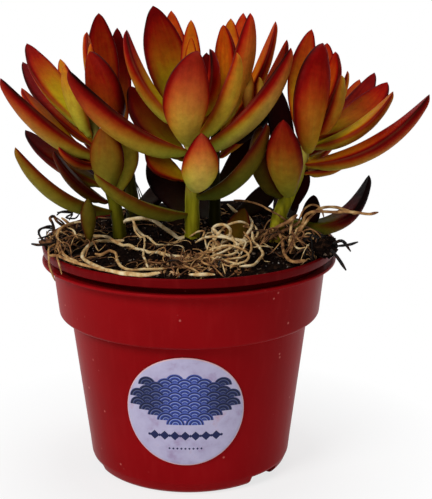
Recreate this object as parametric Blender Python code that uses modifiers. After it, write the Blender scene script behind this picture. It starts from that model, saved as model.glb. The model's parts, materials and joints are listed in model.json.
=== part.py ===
"""Potted sedum: two nested nursery pots, soil, sticker, stems, thick leaves and dry roots.

Origin: centre of the outer pot's base, on the ground. +Z up, the sticker faces -Y.
Sizes in the tables are millimetres; objects are placed in metres.
"""
import math

import bmesh
import bpy
import numpy as np
from mathutils import Matrix, Vector

MM = 0.001

# driving dimensions, mm
RIM_R = 51.0              # both pots: outer radius of the lip
POT_STEPS = 48            # facets around a pot
WALL = 0.7                # pot wall
NEST_GAP = 0.35           # air between the nested pots
FLANGE_Z = 75.2           # edge of the outer pot's flange
LIP_LOW_Z = 77.7          # inner pot's lip band, lower and upper edge
LIP_TOP_Z = 80.9
COLLAR_LOW_Z = 55.8       # step between collar and lower body
COLLAR_TOP_R = 47.5
COLLAR_LOW_R = 45.6
BODY_TOP_R = 41.6         # lower body under the collar
BODY_LOW_R = 36.0         # lower body just above the rounded corner
BODY_LOW_Z = 10.0
FOOT_R = 32.0             # flat the pot stands on
FLOOR = 1.2               # pot floor thickness

NOTCH_ANGLES = (48, 168, 288)   # drain notches, degrees from the front towards +X
NOTCH_WIDTH = 13.0
NOTCH_HEIGHT = 3.6
NOTCH_DEPTH = 7.0

LABEL_R = 20.0
LABEL_Z = 32.0
LABEL_TURN = -2.5         # degrees from the front
LABEL_GAP = 0.25
LABEL_THICK = 0.3

SOIL_R = 48.6             # soil inside the lip
SOIL_Z = 80.0             # soil height at the lip
SOIL_CROWN = 5.2          # how much it mounds to the middle
SOIL_LUMP = 0.8           # height of its lumps
SOCKET_GAP = 0.8          # soil around a stem's foot
SEAT_GAP = 0.35           # soil under a stem's foot, and under the roots

LEAF_GAP = 0.3            # leaf base to stem surface
SEATING_ROUNDS = 6        # steps in which a leaf settles against its stem
LEAF_SIDES = 8
# the leaf's rings, base to tip: station along the length, share of width, share of thickness
LEAF_RINGS = (
    (0.025, 0.34, 0.50),
    (0.12, 0.47, 0.80),
    (0.27, 0.68, 0.97),
    (0.43, 0.90, 1.00),
    (0.58, 1.00, 0.93),
    (0.73, 0.92, 0.78),
    (0.87, 0.62, 0.55),
    (0.965, 0.27, 0.30),
)
UPPER_SHARE = 0.18        # of the thickness, above the margins; the keel takes the rest
CHANNEL = 0.45            # how much the upper face sinks along its middle

# stems: points from the buried foot to the top, then radius at foot and at top
STEMS = {
    "stem_left": (((-24, -8, 70), (-24, -8, 88), (-28, -7, 106), (-33, -4, 126)), 2.6, 1.6),
    "stem_back": (((-20, 9, 70), (-20, 9, 92), (-23, 13, 110), (-27, 15, 127)), 2.6, 1.7),
    "stem_centre": (((1, -15, 70), (1, -15, 92), (1, -14, 108), (0, -12, 128)), 2.8, 1.8),
    "stem_middle": (((9, 6, 70), (9, 6, 92), (9, 7, 108), (10, 6, 126)), 2.4, 1.5),
    "stem_right": (((30, -13, 70), (30, -13, 90), (37, -8, 106), (42, -4, 126)), 3.0, 1.7),
}

# leaves: height where it leaves its stem, tip (x, y, z), width, thickness, bow, sway, roll
# bow is how far the middle sags below the straight line, sway how far it bends to one side,
# and roll turns the leaf on its length, in degrees
LEAVES = {
    "stem_left": {
        "leaf_left_outer": (112, (-61, -15, 139), 11, 6.2, 2, 0, 10, "red"),
        "leaf_left_second": (107.5, (-57, 6, 133), 11, 5.2, 1, 0, 10, "orange"),
        "leaf_left_far": (115.5, (-59.5, 31, 139), 10, 4.6, 2, 0, 0, "red"),
        "leaf_left_tall": (120, (-56, 17, 147), 12, 5.2, 1, 0, 0, "red"),
        "leaf_left_back": (109.5, (-47.3, 44, 138.6), 8.5, 4.2, 2, 0, 0, "orange"),
        "leaf_left_inner": (118.8, (-40.5, -10, 142.7), 9, 4.4, 0.4, 0, 10, "green"),
        "leaf_left_front": (100.5, (-27.8, -15.3, 123.4), 11.6, 5.4, 3, 1.0, 0, "green"),
        "leaf_low_left": (93.5, (-55.5, -27, 118.4), 10, 5.2, 4, 0, 0, "green"),
        "leaf_low_left_back": (102, (-57, 11.5, 117.5), 10, 5.0, 1.5, 0, 0, "red"),
        "leaf_low_left_inner": (96.5, (-45, -9.5, 114), 9, 4.4, 1.5, 0, 0, "red"),
    },
    "stem_back": {
        "leaf_back_tall": (121, (-32, 34, 156), 11, 5.0, 3, 0, 0, "red"),
        "leaf_back_front": (119, (-33, 0, 146), 14, 5.6, 4, 4.5, 0, "red"),
        "leaf_back_left": (125, (-35, 16, 151), 9, 4.6, 0.5, 0, 0, "orange"),
        "leaf_back_right": (112.5, (-26, 43, 150), 9, 4.4, 4, 0, 0, "red"),
    },
    "stem_centre": {
        "leaf_centre_long_left": (115, (-38, -26, 143), 11, 7.2, 4.3, 0, 15, "red"),
        "leaf_centre_left": (123, (-20, -10, 154), 12, 5.4, 3, 0, 0, "red"),
        "leaf_centre_back": (120, (-12, 14, 160), 16, 5.6, 4, -2, 0, "red"),
        "leaf_centre_far": (115, (-6, 32, 157), 11, 4.8, 4, 0, 0, "orange"),
        "leaf_centre_top": (123, (1, 4, 156), 7, 4.2, 2, 0, 0, "orange"),
        "leaf_centre_front": (118, (3, -27, 149), 15, 6.4, 6, -4, 0, "orange"),
        "leaf_centre_shade": (125, (7, -12, 148), 12, 4.8, 2, 0, 0, "red"),
        "leaf_centre_right": (119, (15.5, -20, 147.6), 11, 5.4, 2.5, 1, 0, "orange"),
        "leaf_centre_long_right": (115, (33, -19, 149), 12, 6.4, 4, 0, -15, "red"),
        "leaf_centre_low_front": (106, (4, -34, 124), 12, 6.0, 6, 0, 0, "orange"),
        "leaf_centre_low_left": (105.5, (-14, -15, 116), 8.6, 4.2, 1.0, 0, -50, "orange"),
        "leaf_centre_low_right": (100, (25, -28, 126), 10, 5.4, 4, 0, 0, "green"),
        "leaf_centre_lowest": (94, (-30, -33, 111), 9, 5.2, 2.5, 0, 0, "green"),
        "leaf_centre_low_back": (112, (-20, 3, 134), 15, 5.0, 3, -1.5, 0, "red"),
    },
    "stem_middle": {
        "leaf_middle_left": (124, (12, 8, 154), 10, 4.8, 1, 0, 0, "orange"),
        "leaf_middle_back": (119, (15, 22, 155), 9, 4.6, 3, 0, 0, "orange"),
        "leaf_middle_far": (113, (19.9, 34, 156), 10, 4.6, 3, 0, 0, "red"),
        "leaf_middle_front": (121, (20.5, -5, 159), 8.8, 5.4, 2, 0, 0, "orange"),
        "leaf_middle_right": (116, (29.9, 10, 155), 10.5, 4.8, 1.8, 0, 0, "red"),
        "leaf_middle_low_right": (109, (34.5, 18, 148), 9, 4.8, 3.2, 0, 0, "red"),
    },
    "stem_right": {
        "leaf_right_back": (115, (43.5, 22, 151.2), 9.6, 5.0, 3, 3, 0, "orange"),
        "leaf_right_front": (114, (43.8, -14, 150), 13.5, 6.0, 5, -6.2, 0, "red"),
        "leaf_right_top": (122, (48.2, 14, 147.2), 9, 4.6, 1.5, 0, 0, "red"),
        "leaf_right_second": (125, (49.5, 0, 145.7), 7.5, 4.0, 1.5, 0, 0, "red"),
        "leaf_right_inner": (119, (50.6, -9, 139), 10, 4.8, 2, -3, 0, "orange"),
        "leaf_right_shade": (104.8, (63, 38, 131.5), 10, 4.4, 2, 0, 0, "green"),
        "leaf_right_far": (112, (67, 28, 135.2), 11, 4.6, 3, 0, 0, "red"),
        "leaf_right_broad": (118, (68.8, 9, 134.2), 13, 5.2, 3, 0, 15, "green"),
        "leaf_right_edge": (115, (67.4, -13, 134), 11, 4.8, 3.0, 0, 10, "orange"),
        "leaf_right_long": (109.4, (77, -26, 134.8), 12, 6.2, 4.5, 0, 15, "red"),
        "leaf_right_under": (106, (58, -3.5, 113.2), 8.4, 3.6, 1.4, 0, 0, "red"),
        "leaf_right_low_front": (100.4, (30, -31, 127.6), 12, 6.0, 4, 0, 0, "green"),
        "leaf_right_low_left": (99, (24, -15, 123), 11, 5.2, 3, 0, 0, "green"),
        "leaf_right_lowest": (91, (61, -8, 105), 11, 5.4, 8, 0, 0, "green"),
    },
}

# dry roots: points (x, y, height above the soil), then radius
ROOTS = {
    "root_left": (
        ((-20, -8, 0), (-18, -12, 5), (-14, -16, 8.4), (-11, -15, 7), (-7, -14, 3), (-5, -15, 0)), 0.9),
    "root_front": (
        ((-26, -22, 0.4), (-33, -26, 0.8), (-32, -34, 0.4), (-20, -42, 0.4), (-11, -44, 0.4)), 0.8),
    "root_right": (
        ((33, -20, 0), (34.5, -19.5, 0.6), (38, -18, 7), (45, -17, 13), (54, -16, 12), (64, -14, 12)), 0.6),
}


# helpers
def clear_scene():
    for thing in list(bpy.data.objects):
        bpy.data.objects.remove(thing, do_unlink=True)


def collection(name, hidden=False):
    group = bpy.data.collections.new(name)
    bpy.context.scene.collection.children.link(group)
    group.hide_render = hidden
    return group


def material(name, colour, roughness, metallic=0.0):
    finish = bpy.data.materials.new(name)
    finish.use_nodes = True
    shader = finish.node_tree.nodes["Principled BSDF"]
    shader.inputs["Base Color"].default_value = (*colour, 1.0)
    shader.inputs["Roughness"].default_value = roughness
    shader.inputs["Metallic"].default_value = metallic
    return finish


def add_object(name, data, group, finish):
    thing = bpy.data.objects.new(name, data)
    group.objects.link(thing)
    data.materials.clear()
    data.materials.append(finish)
    return thing


def as_mesh(thing, name, group, finish):
    """Replace an object by a plain mesh of what its modifiers make."""
    graph = bpy.context.evaluated_depsgraph_get()
    data = bpy.data.meshes.new_from_object(thing.evaluated_get(graph))
    data.name = name
    matrix = thing.matrix_world.copy()
    bpy.data.objects.remove(thing, do_unlink=True)
    solid = add_object(name, data, group, finish)
    solid.matrix_world = matrix
    return solid


def smooth_solid(name, mesh, group, finish):
    """A smooth object of a closed bmesh, its faces turned outwards."""
    bmesh.ops.recalc_face_normals(mesh, faces=mesh.faces)
    if mesh.calc_volume(signed=True) < 0:
        bmesh.ops.reverse_faces(mesh, faces=mesh.faces)
    data = bpy.data.meshes.new(name)
    mesh.to_mesh(data)
    mesh.free()
    data.shade_smooth()
    return add_object(name, data, group, finish)


def turned(name, profile, steps, group, finish):
    """Turn (radius, height) points about Z; the points run up the inside and down the outside."""
    data = bpy.data.meshes.new(name)
    points = [(r * MM, 0, z * MM) for r, z in profile]
    edges = [(i, i + 1) for i in range(len(points) - 1)]
    data.from_pydata(points, edges, [])
    thing = add_object(name, data, group, finish)
    screw = thing.modifiers.new("turn", "SCREW")
    screw.steps = screw.render_steps = steps
    screw.use_merge_vertices = True
    screw.merge_threshold = 0.00005
    screw.use_smooth_shade = True
    return thing


def smooth_path(points, count):
    """Points along a smooth curve through the given ones."""
    points = np.array(points, dtype=float)
    last = len(points) - 1
    padded = np.vstack([2 * points[0] - points[1], points, 2 * points[-1] - points[-2]])
    path = []
    for k in range(count):
        place = k / (count - 1) * last
        i = min(int(place), last - 1)
        t = place - i
        a, b, c, d = padded[i:i + 4]
        path.append(0.5 * (2 * b + (c - a) * t + (2 * a - 5 * b + 4 * c - d) * t * t
                           + (3 * b - 3 * c + d - a) * t ** 3))
    return np.array(path)


def tube(name, path, radii, group, finish):
    """A round tube along a path, in mm, with its own radius at each point."""
    curve = bpy.data.curves.new(name, "CURVE")
    curve.dimensions = "3D"
    curve.bevel_depth = MM
    curve.bevel_resolution = 2
    curve.use_fill_caps = True
    spline = curve.splines.new("POLY")
    spline.points.add(len(path) - 1)
    for point, place, radius in zip(spline.points, path, radii):
        point.co = (*(place * MM), 1.0)
        point.radius = radius
    return add_object(name, curve, group, finish)


# pots
def body_radius(z):
    """Outer radius of the lower body, a straight taper."""
    share = (z - BODY_LOW_Z) / (COLLAR_LOW_Z - BODY_LOW_Z)
    return BODY_LOW_R + share * (BODY_TOP_R - BODY_LOW_R)


def outer_pot_profile():
    inside = [
        (0, FLOOR),
        (FOOT_R, FLOOR),
        (BODY_LOW_R - WALL - 1.6, FLOOR + 1.4),
        (BODY_LOW_R - WALL - 0.5, FLOOR + 4.4),
        (BODY_LOW_R - WALL, BODY_LOW_Z),
        (BODY_TOP_R - WALL, COLLAR_LOW_Z),
        (COLLAR_LOW_R - WALL, COLLAR_LOW_Z + 0.9),
        (COLLAR_TOP_R - WALL, FLANGE_Z - 0.2),
        (RIM_R - 0.3, FLANGE_Z + 0.5),
    ]
    outside = [
        (RIM_R, FLANGE_Z + 0.2),
        (RIM_R, FLANGE_Z - 0.4),
        (RIM_R - 0.5, FLANGE_Z - 0.5),
        (COLLAR_TOP_R + 0.3, FLANGE_Z - 1.1),
        (COLLAR_TOP_R - 0.1, FLANGE_Z - 1.8),
        (COLLAR_LOW_R, COLLAR_LOW_Z + 0.7),
        (COLLAR_LOW_R - 0.6, COLLAR_LOW_Z),
        (BODY_TOP_R + 0.4, COLLAR_LOW_Z - 0.6),
        (BODY_TOP_R - 0.1, COLLAR_LOW_Z - 1.3),
        (BODY_LOW_R, BODY_LOW_Z),
        (BODY_LOW_R - 0.6, 4.6),
        (BODY_LOW_R - 1.9, 1.6),
        (BODY_LOW_R - 3.0, 0.5),
        (FOOT_R, 0),
        (0, 0),
    ]
    return inside + outside


def inner_pot_profile():
    """The same pot, nested: its outside clears the outer pot's inside all the way up."""
    clear = WALL + NEST_GAP
    base = FLOOR + NEST_GAP
    inside = [
        (0, base + WALL),
        (FOOT_R - 1.5, base + WALL),
        (BODY_LOW_R - clear - WALL - 0.5, base + 4.6),
        (BODY_LOW_R - clear - WALL, BODY_LOW_Z + 0.5),
        (BODY_TOP_R - clear - WALL, COLLAR_LOW_Z + 1.1),
        (COLLAR_LOW_R - clear - WALL, COLLAR_LOW_Z + 2.1),
        (COLLAR_TOP_R - clear - WALL, LIP_LOW_Z + 0.5),
        (RIM_R - 2.0, LIP_LOW_Z + 0.9),
        (RIM_R - 0.9, LIP_TOP_Z - 0.2),
    ]
    outside = [
        (RIM_R - 0.6, LIP_TOP_Z),
        (RIM_R, LIP_TOP_Z - 0.4),
        (RIM_R - 0.5, LIP_LOW_Z),
        (RIM_R - 1.2, LIP_LOW_Z),
        (COLLAR_TOP_R - clear + 0.3, LIP_LOW_Z - 0.3),
        (COLLAR_TOP_R - clear, LIP_LOW_Z - 1.0),
        (COLLAR_LOW_R - clear, COLLAR_LOW_Z + 2.3),
        (COLLAR_LOW_R - clear - 0.7, COLLAR_LOW_Z + 1.5),
        (BODY_TOP_R - clear, COLLAR_LOW_Z + 0.4),
        (BODY_LOW_R - clear, BODY_LOW_Z),
        (BODY_LOW_R - clear - 0.6, base + 4.0),
        (BODY_LOW_R - clear - 2.6, base + 1.0),
        (FOOT_R - 1.5, base),
        (0, base),
    ]
    return inside + outside


def cut_notches(pot, cutters, finish):
    """Open the drain notches in the corner between wall and base."""
    for angle in NOTCH_ANGLES:
        turn = math.radians(angle)
        reach = BODY_LOW_R - NOTCH_DEPTH / 2
        bpy.ops.mesh.primitive_cube_add(size=1)
        block = bpy.context.object
        block.name = f"notch_cutter_{angle}"
        size = Matrix.Diagonal((NOTCH_WIDTH * MM, (NOTCH_DEPTH + 2) * MM, NOTCH_HEIGHT * 2 * MM, 1))
        place = Matrix.Rotation(turn, 4, "Z") @ Matrix.Translation((0, -(reach + 1) * MM, 0))
        block.data.transform(place @ size)
        for group in block.users_collection:
            group.objects.unlink(block)
        cutters.objects.link(block)
        block.hide_render = True
        block.display_type = "WIRE"
        block.data.materials.append(finish)
        cut = pot.modifiers.new(f"notch_{angle}", "BOOLEAN")
        cut.object = block
        cut.operation = "DIFFERENCE"
        cut.solver = "EXACT"


def make_pots(parts, cutters, red):
    outer = turned("outer_pot", outer_pot_profile(), POT_STEPS, parts, red)
    cut_notches(outer, cutters, red)
    inner = turned("inner_pot", inner_pot_profile(), POT_STEPS, parts, red)
    return outer, inner


# sticker
def make_label(parts, paper):
    """A thin round sticker bent around the tapered wall."""
    mesh = bmesh.new()
    bmesh.ops.create_uvsphere(mesh, u_segments=32, v_segments=8, radius=1)
    slope = math.atan2(BODY_TOP_R - BODY_LOW_R, COLLAR_LOW_Z - BODY_LOW_Z)
    for vert in mesh.verts:
        polar = math.acos(max(-1.0, min(1.0, vert.co.z)))
        outer_face = polar <= math.pi / 2 + 0.01
        reach = LABEL_R * (polar if outer_face else math.pi - polar) / (math.pi / 2)
        around = math.atan2(vert.co.y, vert.co.x)
        across, along = reach * math.cos(around), reach * math.sin(around)
        height = LABEL_Z + along * math.cos(slope)
        lift = LABEL_GAP + (LABEL_THICK if outer_face else 0.0)
        radius = body_radius(height)
        turn = across / radius + math.radians(LABEL_TURN)
        radius += lift * math.cos(slope)
        height -= lift * math.sin(slope)
        vert.co = Vector((radius * math.sin(turn), -radius * math.cos(turn), height)) * MM
    return smooth_solid("label", mesh, parts, paper)


# soil
def soil_height(x, y):
    """Top of the soil at a place, mm: a low mound with soft lumps."""
    radius = min(1.0, math.hypot(x, y) / SOIL_R)
    lumps = math.sin(0.42 * x + 1.3) * math.cos(0.37 * y) + 0.6 * math.sin(0.23 * y - 0.31 * x + 0.5)
    return SOIL_Z + SOIL_CROWN * (1 - radius ** 2) + SOIL_LUMP * lumps * (1 - radius ** 4)


def make_soil(parts, cutters, earth):
    clear = WALL * 2 + NEST_GAP * 2
    profile = [(0, SOIL_Z)]
    profile += [(SOIL_R * k / 9, SOIL_Z) for k in range(1, 10)]
    profile += [
        (SOIL_R - 0.3, LIP_LOW_Z + 1.4),
        (COLLAR_TOP_R - clear - 0.3, LIP_LOW_Z + 0.9),
        (COLLAR_LOW_R - clear - 0.3, COLLAR_LOW_Z + 3.0),
        (BODY_TOP_R - clear - 0.3, COLLAR_LOW_Z + 1.6),
        (BODY_LOW_R - clear - 0.3, BODY_LOW_Z + 1.0),
        (FOOT_R - 2.6, FLOOR + WALL + NEST_GAP * 2 + 1.6),
        (FOOT_R - 5.0, FLOOR + WALL + NEST_GAP * 2),
        (0, FLOOR + WALL + NEST_GAP * 2),
    ]
    block = turned("soil_block", profile, 40, parts, earth)
    soil = as_mesh(block, "soil", parts, earth)
    for vert in soil.data.vertices:
        x, y, z = vert.co / MM
        if z > SOIL_Z - 0.01:
            vert.co.z = soil_height(x, y) * MM
    for name, (points, foot_r, _) in STEMS.items():
        x, y, z = points[0]
        bpy.ops.mesh.primitive_cylinder_add(vertices=16, radius=(foot_r + SOCKET_GAP) * MM, depth=40 * MM)
        drill = bpy.context.object
        drill.name = f"{name}_socket"
        drill.location = Vector((x, y, z - SEAT_GAP + 20)) * MM
        for group in drill.users_collection:
            group.objects.unlink(drill)
        cutters.objects.link(drill)
        drill.hide_render = True
        drill.display_type = "WIRE"
        cut = soil.modifiers.new(f"{name}_socket", "BOOLEAN")
        cut.object = drill
        cut.operation = "DIFFERENCE"
        cut.solver = "EXACT"
    return soil


# stems and leaves
def stem_path(stem, count=13):
    points, foot_r, top_r = STEMS[stem]
    path = smooth_path(points, count)
    radii = np.linspace(foot_r, top_r, count)
    return path, radii


def stem_at(stem, height):
    """Centre of a stem at a height."""
    path, _ = stem_path(stem, 97)
    return np.array([np.interp(height, path[:, 2], path[:, axis]) for axis in range(3)])


def unit(vector):
    return vector / np.linalg.norm(vector)


def leaf_section(angle, width, thick):
    """One point of a ring: across the leaf, and above or below its margins."""
    across = 0.5 * width * math.cos(angle)
    rise = math.sin(angle)
    if rise >= 0:
        lift = UPPER_SHARE * thick * rise * (1 - CHANNEL * rise ** 3)
    else:
        lift = (1 - UPPER_SHARE) * thick * rise
    return across, lift


def leaf_line(stem, attach, tip, bow, sway, reach):
    """The leaf's centre line as three control points, with its sideways direction."""
    centre = stem_at(stem, attach)
    tip = np.array(tip, dtype=float)
    heading = unit((tip - centre) * (1, 1, 0))
    side = np.array((-heading[1], heading[0], 0.0))
    base = centre + heading * reach
    upper = np.cross(unit(tip - base), side)
    control = 0.5 * (base + tip) - 2 * bow * upper + 2 * sway * side
    return base, control, tip, side


def leaf_shape(globe, stem, row, reach):
    """The leaf's points in mm, from those of a unit globe whose poles become base and tip."""
    attach, tip, width, thick, bow, sway, roll, _ = row
    base, control, tip, side = leaf_line(stem, attach, tip, bow, sway, reach)
    rings = len(LEAF_RINGS)
    points = []
    for spot in globe:
        ring = round(math.acos(max(-1.0, min(1.0, spot.z))) / math.pi * (rings + 1))
        t, share_w, share_t = ((0, 0, 0), *LEAF_RINGS, (1, 0, 0))[ring]
        place = (1 - t) ** 2 * base + 2 * t * (1 - t) * control + t * t * tip
        along = unit(2 * (1 - t) * (control - base) + 2 * t * (tip - control))
        turn = Matrix.Rotation(math.radians(roll), 3, Vector(along))
        across_dir = np.array(turn @ Vector(side))
        across_dir = unit(across_dir - (across_dir @ along) * along)
        upper = np.cross(along, across_dir)
        across, lift = leaf_section(math.atan2(spot.y, spot.x), width * share_w, thick * share_t)
        points.append(place + across * across_dir + lift * upper)
    return np.array(points)


def stem_clearance(stem, points):
    """How far the nearest point lies from the stem's surface, mm."""
    path, radii = stem_path(stem, 97)
    apart = np.linalg.norm(points[:, None, :] - path[None, :, :], axis=2) - radii
    return apart.min()


def make_leaf(name, stem, row, parts, finishes):
    """A thick leaf, slid along its heading until its base just clears the stem."""
    mesh = bmesh.new()
    bmesh.ops.create_uvsphere(mesh, u_segments=LEAF_SIDES, v_segments=len(LEAF_RINGS) + 1, radius=1)
    globe = [vert.co.copy() for vert in mesh.verts]
    reach = STEMS[stem][1]
    for _ in range(SEATING_ROUNDS):
        reach += LEAF_GAP - stem_clearance(stem, leaf_shape(globe, stem, row, reach))
    for vert, place in zip(mesh.verts, leaf_shape(globe, stem, row, reach)):
        vert.co = Vector(place) * MM
    return smooth_solid(name, mesh, parts, finishes[row[-1]])


def make_plant(parts, green, finishes):
    for stem in STEMS:
        path, radii = stem_path(stem)
        tube(stem, path, radii, parts, green)
        for name, row in LEAVES[stem].items():
            make_leaf(name, stem, row, parts, finishes)


# roots
def make_roots(parts, dry):
    for name, (points, radius) in ROOTS.items():
        path = smooth_path(points, 16)
        for place in path:
            place[2] += soil_height(place[0], place[1]) + radius + SEAT_GAP
        tube(name, path, np.full(len(path), radius), parts, dry)


# the whole object
def main():
    clear_scene()
    parts = collection("potted_sedum")
    cutters = collection("cutters", hidden=True)
    red = material("red polypropylene", (0.25, 0.005, 0.007), 0.35)
    paper = material("coated label paper", (0.62, 0.58, 0.72), 0.4)
    earth = material("potting soil", (0.02, 0.014, 0.01), 0.95)
    green = material("sedum stem", (0.16, 0.17, 0.02), 0.45)
    dry = material("dry root", (0.5, 0.33, 0.17), 0.8)
    finishes = {
        "red": material("sedum leaf, sun red", (0.16, 0.012, 0.005), 0.4),
        "orange": material("sedum leaf, copper", (0.42, 0.10, 0.012), 0.4),
        "green": material("sedum leaf, olive", (0.24, 0.18, 0.02), 0.4),
    }
    make_pots(parts, cutters, red)
    make_label(parts, paper)
    make_soil(parts, cutters, earth)
    make_plant(parts, green, finishes)
    make_roots(parts, dry)


main()
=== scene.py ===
import json
import math
from types import SimpleNamespace

import bmesh
import bpy
import numpy as np
from mathutils import Matrix, Vector, noise


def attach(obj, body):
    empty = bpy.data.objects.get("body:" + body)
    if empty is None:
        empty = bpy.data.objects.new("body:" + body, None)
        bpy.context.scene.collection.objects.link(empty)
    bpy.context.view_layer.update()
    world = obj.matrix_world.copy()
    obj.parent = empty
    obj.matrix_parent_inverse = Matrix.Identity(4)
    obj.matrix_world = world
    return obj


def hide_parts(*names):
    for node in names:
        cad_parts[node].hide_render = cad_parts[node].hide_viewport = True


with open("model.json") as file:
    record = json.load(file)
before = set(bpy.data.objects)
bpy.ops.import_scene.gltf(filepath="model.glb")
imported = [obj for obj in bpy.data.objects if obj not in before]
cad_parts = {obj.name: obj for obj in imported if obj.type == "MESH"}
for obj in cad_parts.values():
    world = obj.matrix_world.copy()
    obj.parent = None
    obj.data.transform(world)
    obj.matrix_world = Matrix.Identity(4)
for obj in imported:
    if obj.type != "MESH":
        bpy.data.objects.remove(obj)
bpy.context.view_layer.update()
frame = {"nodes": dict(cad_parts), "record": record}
mm = 0.001
fullTurn = 2 * math.pi
slotOf = {row["node"]: row["material_slot"] for row in frame["record"]["subparts"]}


# colours, nodes, materials
def hexColour(code):
    channels = [int(code[i:i + 2], 16) / 255 for i in (1, 3, 5)]
    linear = [c / 12.92 if c <= 0.04045 else ((c + 0.055) / 1.055) ** 2.4 for c in channels]
    return (*linear, 1.0)


def plug(node, links):
    # sockets by name or number, or all in order -> a value, an sRGB code, an output, or another node, which
    # gives its first live output; a Map Range takes its value, then from low, from high, to low and to high
    for key, value in links.items() if isinstance(links, dict) else enumerate(links):
        socket = node.inputs[key]
        if isinstance(value, bpy.types.Node):
            value = next(output for output in value.outputs if output.enabled)
        if isinstance(value, bpy.types.NodeSocket):
            node.id_data.links.new(value, socket)
        elif isinstance(value, str) and socket.type == "RGBA":
            socket.default_value = hexColour(value)
        else:
            socket.default_value = value


def addNode(tree, kind, links=None, stops=None, **settings):
    # a kind without the word Node in it is a shader node
    node = tree.nodes.new(kind if "Node" in kind else "ShaderNode" + kind)
    for name, value in settings.items():
        setattr(node, name, value)
    if stops:
        ramp = node.color_ramp
        while len(ramp.elements) < len(stops):
            ramp.elements.new(1.0)
        for element, (place, code) in zip(ramp.elements, stops):
            element.position = place
            element.color = hexColour(code) if isinstance(code, str) else (code, code, code, 1)
    plug(node, links or {})
    return node


def perMetre(size):
    # the scale of a pattern whose marks are this many mm apart
    return 1000 / size


def newMaterial(name, **constants):
    material = bpy.data.materials.new(name)
    material.use_nodes = True
    tree = material.node_tree
    shader = tree.nodes["Principled BSDF"]
    plug(shader, {key.replace("_", " "): value for key, value in constants.items()})
    return material, tree, shader


# meshes and pieces
def placeObject(name, data):
    piece = bpy.data.objects.new(name, data)
    bpy.context.scene.collection.objects.link(piece)
    return piece


def meshObject(name, vertices, faces, material, smooth=True, **attributes):
    data = bpy.data.meshes.new(name)
    data.from_pydata([tuple(v) for v in vertices], [], faces)
    for key, values in attributes.items():
        layer = data.attributes.new(key, "FLOAT", "POINT")
        layer.data.foreach_set("value", np.asarray(values, dtype=np.float32))
    work = bmesh.new()
    work.from_mesh(data)
    bmesh.ops.recalc_face_normals(work, faces=work.faces)
    if work.calc_volume(signed=True) < 0:
        bmesh.ops.reverse_faces(work, faces=work.faces)
    work.to_mesh(data)
    work.free()
    if smooth:
        data.shade_smooth()
    data.materials.append(material)
    return placeObject(name, data)


def stackFaces(rings, sides):
    # quads between rings of points, closed by the two poles that follow the last ring
    last, poles = (rings - 1) * sides, rings * sides
    faces = []
    for start in range(0, last, sides):
        for k in range(sides):
            n = (k + 1) % sides
            faces.append((start + k, start + n, start + sides + n, start + sides + k))
    for k in range(sides):
        n = (k + 1) % sides
        faces += [(poles, n, k), (poles + 1, last + k, last + n)]
    return faces


def plainMesh(piece):
    # what the modifiers make becomes the piece's own mesh
    graph = bpy.context.evaluated_depsgraph_get()
    data = bpy.data.meshes.new_from_object(piece.evaluated_get(graph))
    data.name = piece.name
    piece.modifiers.clear()
    piece.data = data
    return piece


def finishPiece(piece, slot, *replaced):
    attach(piece, "root")
    if replaced:
        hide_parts(*replaced)


def smoothPath(points, count):
    # a smooth line through given points
    points = np.array(points, dtype=float)
    last = len(points) - 1
    padded = np.vstack([2 * points[0] - points[1], points, 2 * points[-1] - points[-2]])
    path = []
    for place in np.linspace(0, last, count):
        i = min(int(place), last - 1)
        t = place - i
        a, b, c, d = padded[i:i + 4]
        path.append(0.5 * (2 * b + (c - a) * t + (2 * a - 5 * b + 4 * c - d) * t * t
                           + (3 * b - 3 * c + d - a) * t ** 3))
    return np.array(path)


def flowThrough(knots, values, places):
    # cubic curve through values at uneven knots
    knots, values, places = (np.asarray(a, dtype=float) for a in (knots, values, places))
    slopes = np.gradient(values, knots, axis=0)
    i = np.clip(np.searchsorted(knots, places, side="right") - 1, 0, len(knots) - 2)
    span = knots[i + 1] - knots[i]
    t = (places - knots[i]) / span
    if values.ndim > 1:
        t, span = t[:, None], span[:, None]
    return ((2 * t ** 3 - 3 * t ** 2 + 1) * values[i] + (t ** 3 - 2 * t ** 2 + t) * span * slopes[i]
            + (3 * t ** 2 - 2 * t ** 3) * values[i + 1] + (t ** 3 - t ** 2) * span * slopes[i + 1])


def unit(vector):
    return vector / np.maximum(np.linalg.norm(vector, axis=-1, keepdims=True), 1e-9)


# stage, lamps, camera
stageLook = {"floorColour": "#ffffff", "floorReach": 6.0, "floorDrop": 0.0002,
             "fadeFrom": 0.045, "fadeTo": 0.105, "glowAtPot": 0.74, "worldStrength": 0.16,
             "lens": 92.9, "sensor": 36, "cameraPlace": (0, -0.435, 0.192), "lookDown": 14.8,
             "lookAside": -1.23}
# each lamp: place, height it points at over the middle, size, power
lampLook = {"key": ((-0.56, -0.68, 0.75), 0.09, 0.45, 6.9), "fill": ((0.8, -0.7, 0.35), 0.08, 0.6, 0.8),
            "top": ((0.1, 0.25, 0.9), 0.12, 0.5, 2.4)}


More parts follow.
